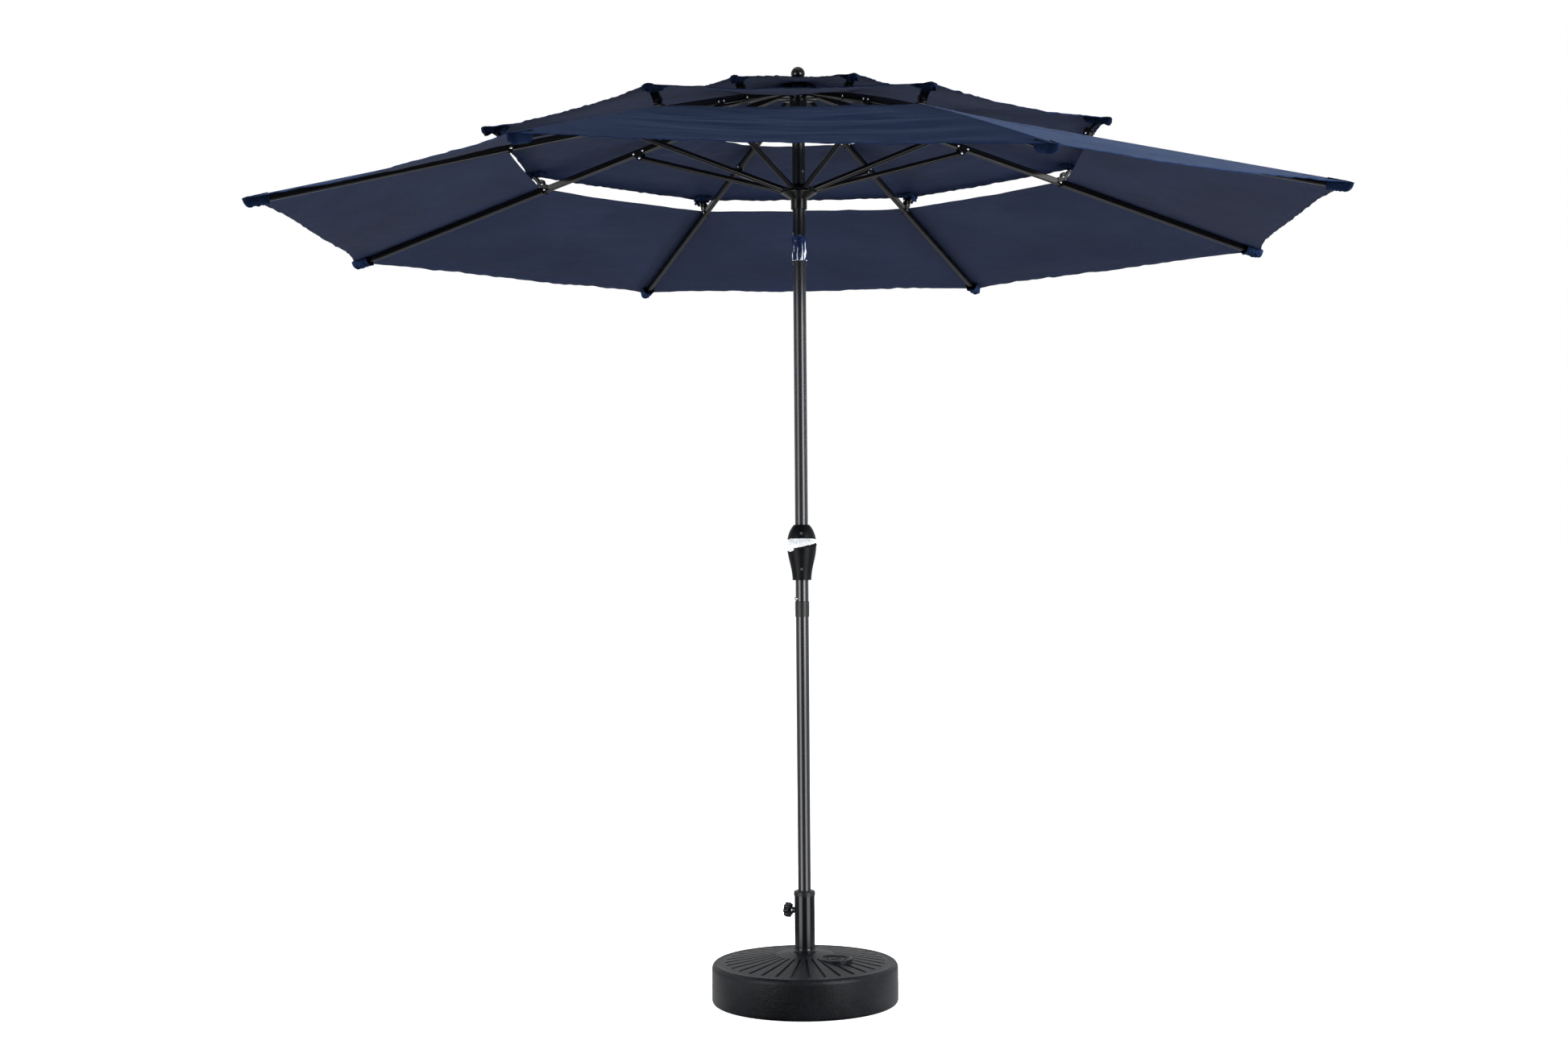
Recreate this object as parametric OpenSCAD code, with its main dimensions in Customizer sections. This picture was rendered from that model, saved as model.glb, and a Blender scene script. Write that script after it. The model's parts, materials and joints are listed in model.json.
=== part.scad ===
// Market umbrella with a three-tier canopy, a crank lift, a push-button tilt
// and a round fillable base. Millimetres, +Z up, origin on the ground at the
// centre of the base. The crank faces -Y, and a flat side of the octagon does too.

/* [Base tank] */
// Radius of the round base
base_r = 254; // [200:1:320]
// Height of the side wall's straight stretch, up to the rounded shoulder
base_side_h = 95; // [70:1:120]
// Height at the outer end of the sloping top
base_rim_h = 108; // [100:1:140]
// Height of the flat hub in the middle of the top
base_hub_h = 137; // [125:1:170]
// Radius of the flat hub
base_hub_r = 38; // [35:1:60]
// Rounding where the side turns into the top
base_shoulder = 16; // [8:1:24]
// Rounding at the lower edge
base_edge = 9; // [4:1:16]
// Wall of the blow-moulded tank
base_wall = 4; // [3:0.5:6]
// Number of grooves moulded into the top
groove_count = 32; // [16:1:40]
// Radius where the grooves start
groove_in_r = 82; // [70:1:110]
// Radius where the grooves end
groove_out_r = 227; // [180:1:235]
// Width of a groove at its inner end
groove_in_w = 5; // [3:0.5:7]
// Width of a groove at its outer end
groove_out_w = 11; // [6:0.5:14]
// Depth of a groove
groove_depth = 3.5; // [1:0.5:5]
// Turn of the first groove from +X, in degrees
groove_turn = 3.75; // [0:0.25:11.25]
// Level of the sand inside the tank
sand_level = 62; // [30:1:85]

/* [Filler] */
// Distance of the filler from the middle
filler_r = 104; // [95:1:130]
// Direction of the filler, in degrees from +X
filler_angle = -34; // [-60:1:-10]
// Outer diameter of the raised ring round the filler
filler_ring_d = 88; // [70:1:100]
// Height of the ring over the sloping top
filler_ring_rise = 3; // [1:0.5:6]
// Width of the ring's crest
filler_ring_w = 6; // [3:0.5:10]
// Depth of the dish inside the ring
filler_dish = 8; // [4:0.5:10]
// Diameter of the filler hole
filler_hole_d = 36; // [25:1:40]
// Diameter of the cap's head
cap_d = 41; // [40:0.5:50]
// Height of the cap's head
cap_h = 6; // [4:0.5:8]

/* [Stem] */
// Outer diameter of the stem that stands on the tank
stem_d = 55; // [50:0.5:60]
// Wall of the stem
stem_wall = 2; // [1:0.5:3]
// Height of the stem's steel tube over the ground
stem_top = 290; // [240:1:400]
// Depth of the socket's floor over the ground
socket_z = 14; // [8:1:30]
// Diameter of the plastic collar on the stem
collar_d = 58.4; // [57:0.1:66]
// Height of the collar's flange
collar_h = 13; // [6:1:20]
// Flare of the stem's foot
foot_flare = 3.5; // [0:0.5:6]
// Height of the flare
foot_flare_h = 11; // [5:1:20]

/* [Clamp screw] */
// Height of the clamp screw
clamp_z = 248; // [200:1:265]
// Direction of the clamp screw, in degrees from +X
clamp_angle = 157.5; // [90:0.5:220]
// Distance of the knob's middle from the mast's axis
clamp_reach = 49; // [44:1:60]
// Diameter over the knob's lobes
knob_d = 40; // [30:1:50]
// Thickness of the knob
knob_t = 14; // [10:1:20]
// Number of lobes on the knob
knob_lobes = 8; // [5:1:10]
// Diameter of the clamp bolt
clamp_bolt_d = 8; // [6:1:10]

/* [Mast] */
// Outer diameter of the mast's tubes
pole_d = 35; // [32:0.5:40]
// Wall of the tubes
pole_wall = 1.5; // [1:0.1:2]
// Height of the mast's lower end over the ground
pole_foot_z = 36; // [30:1:60]
// Height of the joint between the two lower tubes
joint_z = 1093; // [900:1:1120]
// Height of the collar under the joint
joint_collar_h = 42; // [30:1:60]
// Diameter of the collar under the joint
joint_collar_d = 38; // [37.5:0.1:41]
// Height of the snap button
snap_z = 1100.5; // [1099:0.5:1110]
// Direction of the snap button, in degrees from +X
snap_angle = 212; // [180:1:270]
// Diameter of the snap button
snap_d = 8.5; // [6:0.5:10]
// How far the snap button stands out of the tube
snap_out = 4; // [2:0.5:6]

/* [Crank housing] */
// Height of the housing's lower end
housing_z = 1151; // [1140:1:1180]
// Height of the crank's axle over the housing's lower end
housing_mid = 96; // [80:1:110]
// Height of the housing over the axle
housing_over = 55; // [45:1:60]
// Largest radius of the housing, at the axle
housing_r = 40; // [36:0.5:46]
// Radius at the lower end
housing_low_r = 25.7; // [23:0.1:30]
// Radius at the upper end
housing_top_r = 21; // [20:0.1:26]
// Wall of the housing
housing_wall = 3; // [2:0.5:4]
// Distance of the lower screw under the axle
screw_under = 66; // [60:1:74]
// Distance of the upper screw over the axle
screw_above = 31; // [28:1:36]
// Diameter of the crank's axle
axle_d = 10; // [8:0.5:12]
// Distance from the axle to the crank's fold
crank_reach = 34; // [28:1:45]
// Length of the folding grip, from its hinge to its tip
grip_len = 76; // [60:1:100]
// Width of the grip at its hinge
grip_wide = 25; // [24:0.5:30]
// Width of the grip at its tip
grip_narrow = 12; // [8:0.5:16]
// Thickness of the grip
grip_t = 10.5; // [8:0.5:14]
// Thickness of the crank's arm
arm_t = 6; // [4:0.5:8]
// Width of the crank's arm
arm_w = 12; // [10:0.5:14]

/* [Tilt joint] */
// Height of the tilt joint's pin
tilt_z = 2056; // [1960:1:2080]
// Length of the joint on each side of the pin that no tube covers
tilt_half = 33; // [30:1:45]
// Thickness of the tongue in the fork
tongue_t = 16; // [12:0.5:20]
// Diameter of the tilt pin
tilt_pin_d = 8; // [6:0.5:10]
// Diameter of the push button
button_d = 11; // [8:0.5:12]
// How far the push button stands out of the joint
button_out = 0.8; // [0.5:0.1:1]
// Length of the inserts inside the tubes
insert_len = 48; // [40:1:70]

/* [Ribs and struts] */
// Radius from the mast's axis to the tip of the canopy
canopy_r = 1476; // [1350:1:1600]
// Slope of the open ribs, in degrees under the horizontal
rib_slope = 14.7; // [13:0.1:17]
// Height of the rib hinges over the ground
hub_z = 2477.4; // [2440:0.1:2520]
// Distance of the rib hinges from the mast's axis
hinge_r = 40; // [38:0.5:46]
// Width of a rib
rib_w = 13; // [11:0.5:16]
// Height of a rib
rib_h = 18; // [15:0.5:19]
// Wall of a rib
rib_wall = 0.8; // [0.6:0.1:1.5]
// Height of the rib's centre line over its hinge pin
rib_lift = 3.5; // [2:0.5:5]
// Diameter of the hinge pins of the ribs
rib_pin_d = 6; // [4:0.5:7]
// Distance along the rib from its hinge to the strut's pin
strut_at = 467.8; // [430:0.1:520]
// Distance of the strut's pin under the rib's centre line
strut_drop = 16.5; // [16.5:0.1:19]
// Width of a strut
strut_w = 12.4; // [10:0.1:12.4]
// Height of a strut
strut_h = 14; // [10:0.5:14]
// Wall of a strut
strut_wall = 1; // [0.6:0.1:1.5]
// Diameter of the pins at both ends of a strut
strut_pin_d = 5; // [3:0.5:6]

/* [Hub and runner] */
// Radius of the top hub
hub_r = 52; // [50:0.5:60]
// Radius of the runner's rim
runner_r = 50; // [48:0.5:58]
// Outer radius of the runner's sleeve
runner_neck_r = 22; // [21:0.5:26]
// Height of the sleeve under the rim
runner_neck_h = 27; // [20:1:50]
// Depth of the runner's dish under its pins
runner_dish_h = 25; // [20:1:35]
// Diameter of the ball on the top
finial_d = 38; // [30:0.5:50]
// Height of the ball's centre over the top of the canopy
finial_rise = 24.5; // [23:0.5:40]

/* [Canopy tiers] */
// Thickness of the fabric's solid
fabric_t = 1.2; // [0.8:0.1:2]
// Radius of the lower tier's inner corners
lower_in_r = 820; // [815:1:840]
// Radius of the middle tier's outer corners
middle_out_r = 871; // [866:1:900]
// Height of the middle tier's corners over the rib's centre line
middle_rise = 66; // [60:0.5:75]
// Radius of the middle tier's inner corners
middle_in_r = 369; // [365:1:380]
// Radius of the top tier's outer corners
top_out_r = 401; // [395:1:420]
// Height of the top tier's corners over the rib's centre line
top_rise = 57; // [52:0.5:65]
// Height of the canopy's centre over the rib hinges
top_over = 31.5; // [30:0.5:40]
// How far the hem of the lower tier is cut in between two ribs
lower_scallop = 38; // [0:1:60]
// How far the hem of the middle tier is cut in
middle_scallop = 22; // [0:1:40]
// How far the hem of the top tier is cut in
top_scallop = 12; // [0:1:20]
// Sag of the lower tier in the middle of a panel
lower_sag = 14; // [4:1:24]
// Sag of the middle tier in the middle of a panel
middle_sag = 10; // [3:1:16]
// Sag of the top tier in the middle of a panel
top_sag = 4; // [1:1:8]
// Radius of the curved arm that carries a corner of the middle tier
middle_arm_r = 48; // [44:0.5:52]
// Radius of the curved arm that carries a corner of the top tier
top_arm_r = 40; // [36:0.5:44]
// Width of the curved arms
arm_wide = 20; // [14:0.5:26]

/* [Hidden] */
$fn = 64;

// Clearances
fit = 0.05;      // round a shank in its hole, within one body
run = 0.1;       // round a pin that something turns on
slide = 0.3;     // between faces that slide or turn past each other
guide = 1.5;     // between the runner's bore and the mast
eps = 0.01;      // so that a cutter reaches through the face it opens

// Mast
pole_r = pole_d / 2;
bore_r = pole_r - pole_wall;
insert_r = bore_r - fit;
insert_wall = 1.5;
stem_r = stem_d / 2;
lower_top = joint_z - 2;
axle_z = housing_z + housing_mid;
pole_top = hub_z + 12;

// Ribs: k counts anticlockwise from the rib at +X, +Y
rib_count = 8;
rib_step = 360 / rib_count;
function rib_angle(k) = (k - 0.5) * rib_step;
// A point of the rib's vertical plane, in the rib's own frame: x runs down along
// the rib from its hinge, z stands on it.
function in_rib(r, z) = [
    (r - hinge_r) * cos(rib_slope) - (z - hub_z) * sin(rib_slope),
    (r - hinge_r) * sin(rib_slope) + (z - hub_z) * cos(rib_slope)
];
// Height of the rib's centre line at a distance from the mast's axis
function rib_z(r) = hub_z + rib_lift / cos(rib_slope) - (r - hinge_r) * tan(rib_slope);
rib_tail = 8;                    // length of a rib behind its hinge
tip_short = 6;                   // a rib ends this far inside the canopy's tip
plug_len = 9;                    // plastic plug on the end of a rib
rib_len = in_rib(canopy_r - tip_short, rib_z(canopy_r - tip_short))[0] - plug_len;
rib_corner = 3;
rivet_d = 4;
rivet_head_d = 7.5;
rivet_head_h = 1.3;

// The linkage: hinge, strut pin and runner pin make two equal sides, so the
// runner moves straight down as the rib turns, and its pins stay under the hub's.
strut_pin_z = rib_lift - strut_drop;
strut_len = norm([strut_at, strut_pin_z]);
strut_slope = rib_slope + atan(-strut_pin_z / strut_at);
runner_z = hub_z - 2 * strut_len * sin(strut_slope);
strut_corner = 5;
slot_w = rib_w + 2 * slide;
plate_t = 2;

// Canopy: [inner r, inner z, outer r, outer z, scallop, sag, steps round a panel, steps down]
fabric_gap = 1.5;
on_rib = rib_h / 2 / cos(rib_slope) + fabric_gap;
top_hole_r = 12;
canopy_top_z = hub_z + top_over;
LOWER = [lower_in_r, rib_z(lower_in_r) + on_rib, canopy_r, rib_z(canopy_r) + on_rib,
         lower_scallop, lower_sag, 10, 6];
MIDDLE = [middle_in_r, rib_z(middle_in_r) + on_rib, middle_out_r,
          rib_z(middle_out_r) + middle_rise, middle_scallop, middle_sag, 8, 4];
TOP = [top_hole_r, canopy_top_z, top_out_r, rib_z(top_out_r) + top_rise,
       top_scallop, top_sag, 6, 4];

// ---- shared shapes ----

module ring(z0, z1, r_out, r_in) {
    translate([0, 0, z0])
        difference() {
            cylinder(r = r_out, h = z1 - z0);
            translate([0, 0, -eps]) cylinder(r = r_in, h = z1 - z0 + 2 * eps);
        }
}

module disc(z0, z1, r) {
    translate([0, 0, z0]) cylinder(r = r, h = z1 - z0);
}

// A rectangle with round corners
module soft_rect(w, h, r) {
    square([w - 2 * r, h], center = true);
    square([w, h - 2 * r], center = true);
    for (x = [-1, 1], y = [-1, 1])
        translate([x * (w / 2 - r), y * (h / 2 - r)]) circle(r, $fn = 24);
}

// Two circles and the trapezium between them
module taper_2d(x0, r0, x1, r1) {
    translate([x0, 0]) circle(r0, $fn = 32);
    translate([x1, 0]) circle(r1, $fn = 32);
    polygon([[x0, -r0], [x1, -r1], [x1, r1], [x0, r0]]);
}

// A cylinder along X or Y, centred on the origin
module across_x(r, len) { rotate([0, 90, 0]) cylinder(r = r, h = len, center = true); }
module across_y(r, len) { rotate([90, 0, 0]) cylinder(r = r, h = len, center = true); }

// A bar along +X with its section's width across Y
module bar_x(x0, x1) {
    translate([x0, 0, 0]) rotate([90, 0, 90]) linear_extrude(x1 - x0) children();
}

// A plate in the XZ plane, with its thickness across Y from y0 to y1
module plate_y(y0, y1) {
    translate([0, y1, 0]) rotate([90, 0, 0]) linear_extrude(y1 - y0) children();
}

module both_sides() { children(); mirror([0, 1, 0]) children(); }

// A rivet across Y, with a head on each side of a grip length
module rivet(grip_w, r = rivet_d / 2, head_r = rivet_head_d / 2) {
    across_y(r, grip_w + eps);
    both_sides()
        translate([0, -grip_w / 2, 0]) rotate([90, 0, 0])
            cylinder(r1 = head_r, r2 = head_r * 0.55, h = rivet_head_h);
}

// Points of an arc, for outlines that are revolved
function arc(x, z, r, a0, a1, n = 6) =
    [for (i = [0:n]) [x + r * cos(a0 + (a1 - a0) * i / n), z + r * sin(a0 + (a1 - a0) * i / n)]];

// ---- base ----

top_slope = atan((base_hub_h - base_rim_h) / (groove_out_r - base_hub_r));
function top_z(r) = base_hub_h - (r - base_hub_r) * tan(top_slope);
filler_z = top_z(filler_r);
dish_z = filler_z + filler_ring_rise - filler_dish;
socket_r = stem_r + run;

// The shoulder's arc meets the side wall and the sloping top
module base_outline() {
    shoulder_x = base_r - base_shoulder;
    polygon(concat(
        [[0, 0]],
        arc(base_r - base_edge, base_edge, base_edge, -90, 0, 4),
        arc(shoulder_x, base_side_h, base_shoulder, 0, 62, 6),
        [[groove_out_r + 4, top_z(groove_out_r + 4)], [base_hub_r, base_hub_h], [0, base_hub_h]]
    ));
}

module base_cavity() {
    roof = base_wall + groove_depth;
    inner = socket_r + base_wall;
    far = base_r - base_wall;
    polygon([
        [inner, base_wall], [far - base_edge, base_wall], [far, base_wall + base_edge],
        [far, base_side_h - 2], [groove_out_r, top_z(groove_out_r) - roof],
        [base_hub_r, base_hub_h - roof], [inner, base_hub_h - roof]
    ]);
}

module groove_cutter() {
    translate([base_hub_r, 0, base_hub_h]) rotate([0, top_slope, 0])
        translate([0, 0, -groove_depth]) linear_extrude(groove_depth + 10)
            taper_2d(groove_in_r - base_hub_r, groove_in_w / 2,
                     groove_out_r - groove_out_w - base_hub_r, groove_out_w / 2);
}

module at_filler() {
    rotate([0, 0, filler_angle]) translate([filler_r, 0, 0]) children();
}

module base_tank() {
    ring_r = filler_ring_d / 2;
    ring_top = filler_z + filler_ring_rise;
    dish_r = ring_r - filler_ring_w;
    color("#1b1c1e")
        difference() {
            union() {
                difference() {
                    rotate_extrude($fn = 96) base_outline();
                    for (i = [0:groove_count - 1])
                        rotate([0, 0, groove_turn + i * 360 / groove_count]) groove_cutter();
                    rotate_extrude($fn = 96) base_cavity();
                }
                at_filler() disc(dish_z - base_wall - 4, ring_top, ring_r);
            }
            disc(socket_z, base_hub_h + 1, socket_r);
            at_filler() {
                translate([0, 0, dish_z])
                    cylinder(r1 = cap_d / 2 + 3, r2 = dish_r, h = filler_dish + eps);
                disc(base_hub_h / 2, ring_top, filler_hole_d / 2);
                disc(ring_top - eps, base_hub_h, dish_r);
            }
        }
}

// Sand, poured in to a level
module sand_ballast() {
    inner = socket_r + base_wall + slide;
    far = base_r - base_wall - base_edge - slide;
    color("#b9a27c")
        difference() {
            disc(base_wall + slide, sand_level, far);
            disc(base_wall, sand_level + 1, inner);
        }
}

module filler_cap() {
    grip_r = cap_d / 2 - 5;
    cap_z = dish_z + slide;
    color("#161718")
        at_filler() {
            difference() {
                disc(cap_z, cap_z + cap_h, cap_d / 2);
                difference() {
                    disc(cap_z + 2, cap_z + cap_h + 1, grip_r);
                    translate([-grip_r, -2.5, cap_z]) cube([2 * grip_r, 5, cap_h + 2]);
                }
            }
            disc(cap_z - 10, cap_z, filler_hole_d / 2 - slide);
        }
}

// ---- stem ----

module at_clamp() {
    translate([0, 0, clamp_z]) rotate([0, 0, clamp_angle]) rotate([0, 90, 0]) children();
}
boss_r = clamp_bolt_d / 2 + 4;
boss_out = 6;

module stem_tube() {
    color("#141516")
        difference() {
            union() {
                rotate_extrude()
                    polygon([
                        [0, socket_z + slide], [stem_r, socket_z + slide],
                        [stem_r, base_hub_h], [stem_r + foot_flare, base_hub_h],
                        [stem_r + foot_flare, base_hub_h + 2],
                        [stem_r + foot_flare * 0.3, base_hub_h + foot_flare_h * 0.5],
                        [stem_r, base_hub_h + foot_flare_h], [stem_r, stem_top], [0, stem_top]
                    ]);
                at_clamp() cylinder(r = boss_r, h = stem_r + boss_out);
            }
            disc(0, stem_top + 1, stem_r - stem_wall);
            at_clamp() cylinder(r = clamp_bolt_d / 2 + run, h = stem_r + boss_out + 1);
        }
}

// Guide that centres the mast at the top of the stem
module stem_collar() {
    depth = 24;
    color("#18191b")
        difference() {
            union() {
                disc(stem_top - depth, stem_top + eps, stem_r - stem_wall - fit);
                disc(stem_top, stem_top + collar_h - 2, collar_d / 2);
                translate([0, 0, stem_top + collar_h - 2])
                    cylinder(r1 = collar_d / 2, r2 = collar_d / 2 - 2, h = 2);
            }
            disc(0, stem_top + collar_h + 1, pole_r + slide);
        }
}

// Cup that centres the mast's foot at the bottom of the stem
module stem_bush() {
    floor_z = pole_foot_z - 6;
    color("#202124")
        difference() {
            disc(socket_z + slide, pole_foot_z + 20, stem_r - stem_wall - fit);
            disc(floor_z - slide, pole_foot_z + 21, pole_r + slide);
        }
}

module clamp_knob() {
    hub_r2 = knob_d / 2 - 6;
    lobe_r = knob_d / 2 * sin(180 / knob_lobes) * 0.72;
    knob_in = clamp_reach - knob_t / 2;
    color("#151617")
        at_clamp() {
            difference() {
                union() {
                    translate([0, 0, knob_in]) linear_extrude(knob_t) {
                        circle(knob_d / 2 - lobe_r * 0.8);
                        for (i = [0:knob_lobes - 1])
                            rotate(i * 360 / knob_lobes)
                                translate([knob_d / 2 - lobe_r, 0]) circle(lobe_r, $fn = 32);
                    }
                    translate([0, 0, knob_in + knob_t])
                        cylinder(r1 = hub_r2, r2 = hub_r2 - 2.5, h = 2.5);
                }
                translate([0, 0, knob_in - eps]) cylinder(r = clamp_bolt_d / 2 + fit, h = 9);
                translate([0, 0, knob_in - eps])
                    cylinder(r1 = hub_r2 - 1, r2 = hub_r2 - 3, h = 3);
            }
        }
}

module clamp_bolt() {
    tip = pole_r + slide;
    color("silver")
        at_clamp() {
            translate([0, 0, tip])
                cylinder(r = clamp_bolt_d / 2, h = clamp_reach - knob_t / 2 + 8 - tip);
            translate([0, 0, stem_r + boss_out + slide]) cylinder(r = boss_r + 1, h = 1.6);
        }
}

// ---- mast ----

module at_front(z, y) { translate([0, y, z]) children(); }
module at_snap() {
    translate([0, 0, snap_z]) rotate([0, 0, snap_angle]) rotate([0, 90, 0]) children();
}

module lower_pole() {
    color("#232427") ring(pole_foot_z, lower_top, pole_r, bore_r);
}

// Plug that closes the mast's lower end and turns in the bush
module pole_foot() {
    color("#18191b") {
        disc(pole_foot_z - 6, pole_foot_z, pole_r);
        disc(pole_foot_z - eps, pole_foot_z + 14, insert_r);
    }
}

module joint_collar() {
    color("#1b1c1f")
        difference() {
            union() {
                disc(joint_z - joint_collar_h, joint_z - 1.5, joint_collar_d / 2);
                translate([0, 0, joint_z - 1.5])
                    cylinder(r1 = joint_collar_d / 2, r2 = joint_collar_d / 2 - 1, h = 1.5);
            }
            disc(0, lower_top, pole_r + fit);
            disc(0, joint_z + 1, bore_r);
        }
}

module joint_insert() {
    color("#8d9094")
        difference() {
            ring(joint_z - 55, joint_z + 55, insert_r, insert_r - insert_wall);
            at_snap() cylinder(r = snap_d / 2 + run, h = pole_d);
        }
}

// Button on a leaf inside the tube, pushed in to part the two tubes
module snap_button() {
    flange = insert_r - insert_wall - 1.8;
    color("silver")
        at_snap() {
            translate([0, 0, flange - 2]) cylinder(r = snap_d / 2, h = pole_r + snap_out - flange + 1);
            translate([0, 0, pole_r + snap_out - 1])
                cylinder(r1 = snap_d / 2, r2 = snap_d / 2 - 1, h = 1);
            translate([0, 0, flange - 2]) cylinder(r = snap_d / 2 + 1.5, h = 1.6);
            translate([-4, -4, flange - 2.8]) cube([40, 8, 0.8]);
        }
}

module middle_pole() {
    color("#232427")
        difference() {
            ring(joint_z, tilt_z - tilt_half, pole_r, bore_r);
            at_snap() cylinder(r = snap_d / 2 + run, h = pole_d);
            translate([0, 0, axle_z]) across_y(axle_d / 2 + slide, 2 * pole_d);
            for (z = screw_levels) at_front(z, 0) rotate([90, 0, 0])
                cylinder(r = screw_d / 2 + fit, h = pole_d);
            mast_rivet_places() cylinder(r = rivet_d / 2 + fit, h = pole_d);
        }
}

// ---- crank housing ----

screw_d = 4;
screw_head_d = 8;
screw_levels = [axle_z - screw_under, axle_z + screw_above];
housing_top = axle_z + housing_over;
// A long swelling taper under the axle and a half ellipse over it
over_b = housing_over / sqrt(1 - pow(housing_top_r / housing_r, 2));
function housing_at(z) = z < axle_z
    ? housing_low_r + (housing_r - housing_low_r) * (1 - cos(180 * (z - housing_z) / housing_mid)) / 2
    : housing_r * sqrt(max(0, 1 - pow((z - axle_z) / over_b, 2)));
housing_steps = 22;
function housing_side(cut) = [
    for (i = [0:housing_steps])
        let (z = housing_z + (housing_top - housing_z) * i / housing_steps)
            [housing_at(z) - cut, z]
];

module housing_outline() {
    polygon(concat([[pole_r + fit, housing_z]], housing_side(0), [[pole_r + fit, housing_top]]));
}

module housing_hollow() {
    lid = 5;
    intersection() {
        polygon(concat([[0, housing_z]], housing_side(housing_wall), [[0, housing_top]]));
        translate([0, housing_z + lid]) square([housing_r, housing_top - housing_z - 2 * lid]);
    }
}

bearing_r = axle_d / 2 + 4;

// The whole housing, before it is parted into a front and a back
module housing_body() {
    difference() {
        union() {
            rotate_extrude() difference() {
                housing_outline();
                housing_hollow();
            }
            intersection() {
                translate([0, 0, axle_z]) across_y(bearing_r, 2 * housing_r);
                rotate_extrude() housing_outline();
            }
            for (z = screw_levels)
                intersection() {
                    at_front(z, 0) rotate([90, 0, 0]) cylinder(r = 6.5, h = housing_r);
                    rotate_extrude() housing_outline();
                }
        }
        disc(housing_z - 1, housing_top + 1, pole_r + fit);
        translate([0, -housing_wall, axle_z]) across_y(axle_d / 2 + run, 2 * housing_r);
        for (z = screw_levels) {
            at_front(z, 0) rotate([90, 0, 0]) cylinder(r = screw_d / 2 + fit, h = housing_r + 1);
            at_front(z, 4.5 - housing_at(z)) rotate([90, 0, 0])
                cylinder(r = screw_head_d / 2 + fit, h = 20);
        }
    }
}

module housing_front() {
    color("#1f2023")
        intersection() {
            housing_body();
            translate([-housing_r, -2 * housing_r, housing_z - 1])
                cube([2 * housing_r, 2 * housing_r, housing_top - housing_z + 2]);
        }
}

module housing_back() {
    color("#1f2023")
        intersection() {
            housing_body();
            translate([-housing_r, 0, housing_z - 1])
                cube([2 * housing_r, 2 * housing_r, housing_top - housing_z + 2]);
        }
}

// Two screws that hold the housing on the mast
module housing_screws() {
    color("silver")
        for (z = screw_levels) {
            seat = housing_at(z) - 4.5;
            at_front(z, 0) rotate([90, 0, 0]) {
                translate([0, 0, bore_r - 2]) cylinder(r = screw_d / 2, h = seat - bore_r + 2 + eps);
                difference() {
                    translate([0, 0, seat]) cylinder(r = screw_head_d / 2, h = 2.4);
                    for (a = [0, 90]) rotate([0, 0, a])
                        translate([-2.5, -0.5, seat + 1.2]) cube([5, 1, 2]);
                }
            }
        }
}

// ---- crank ----

arm_y = -(housing_r + 1);             // back face of the crank's arm
fold_y = arm_y - arm_t - 3;           // axis on which the grip folds
knuckle_r = 4.5;
fold_pin_r = 2;
ear_t = 4.5;
ear_gap = 0.9;                        // between an ear and the arm, which widens behind it
grip_gap = 6;                         // from the fold's axis to the grip's body

// Axle with the cord drum that turns inside the mast
module crank_axle() {
    drum_w = 18;
    color("#9a9da1")
        difference() {
            translate([0, 0, axle_z]) {
                translate([0, (arm_y - arm_t + housing_r - housing_wall - 1) / 2, 0])
                    across_y(axle_d / 2, housing_r - housing_wall - 1 - arm_y + arm_t);
                across_y(axle_d / 2 + 2, drum_w + 4);
                both_sides() translate([0, drum_w / 2 + 1, 0]) across_y(bore_r * 0.7, 2);
            }
            translate([0, arm_y - arm_t - eps, axle_z]) rotate([-90, 0, 0])
                cylinder(r = 2, h = 8);
        }
}

module crank_arm() {
    color("#1c1d20")
        difference() {
            translate([0, 0, axle_z]) union() {
                plate_y(arm_y - arm_t, arm_y) taper_2d(0, axle_d / 2 + 5, -crank_reach, arm_w / 2);
                translate([-crank_reach, fold_y, -arm_w / 2]) cylinder(r = knuckle_r, h = arm_w);
                translate([-crank_reach - knuckle_r, fold_y, -arm_w / 2])
                    cube([2 * knuckle_r, arm_y - fold_y, arm_w]);
            }
            translate([0, arm_y, axle_z]) across_y(axle_d / 2 + fit, 3 * arm_t);
            translate([-crank_reach, fold_y, axle_z - arm_w])
                cylinder(r = fold_pin_r + run, h = 2 * arm_w);
        }
}

// Grip, folded back across the front of the housing
module crank_grip() {
    ear_z = arm_w / 2 + ear_gap;
    color("#17181a")
        translate([-crank_reach, fold_y, axle_z]) {
            plate_y(-grip_t - 0.5, -0.5)
                taper_2d(grip_gap + grip_wide / 2, grip_wide / 2,
                         grip_len - grip_narrow / 2, grip_narrow / 2);
            for (s = [0, 1]) mirror([0, 0, s]) {
                translate([0, 0, ear_z]) cylinder(r = knuckle_r, h = ear_t);
                translate([0, -grip_t + 2, ear_z]) cube([grip_gap + 9, grip_t - 2.5, ear_t]);
            }
            translate([0, 0, -ear_z - eps]) cylinder(r = fold_pin_r, h = 2 * ear_z + 2 * eps);
        }
}

// ---- tilt joint ----

disc_r = pole_r - 0.1;                // round ends of the fork's cheeks and of the tongue
shoulder = pole_r + 0.5;              // from the pin to the faces that the round ends pass
rivet_angle = 195;
low_rivet_z = tilt_z - tilt_half - 8;
high_rivet_z = tilt_z + tilt_half + 9;
stop_z = 2266;
stop_angle = -49;
cord_y = 9;                           // the lift cord passes behind the tilt pin
cord_r = 2.5;

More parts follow.
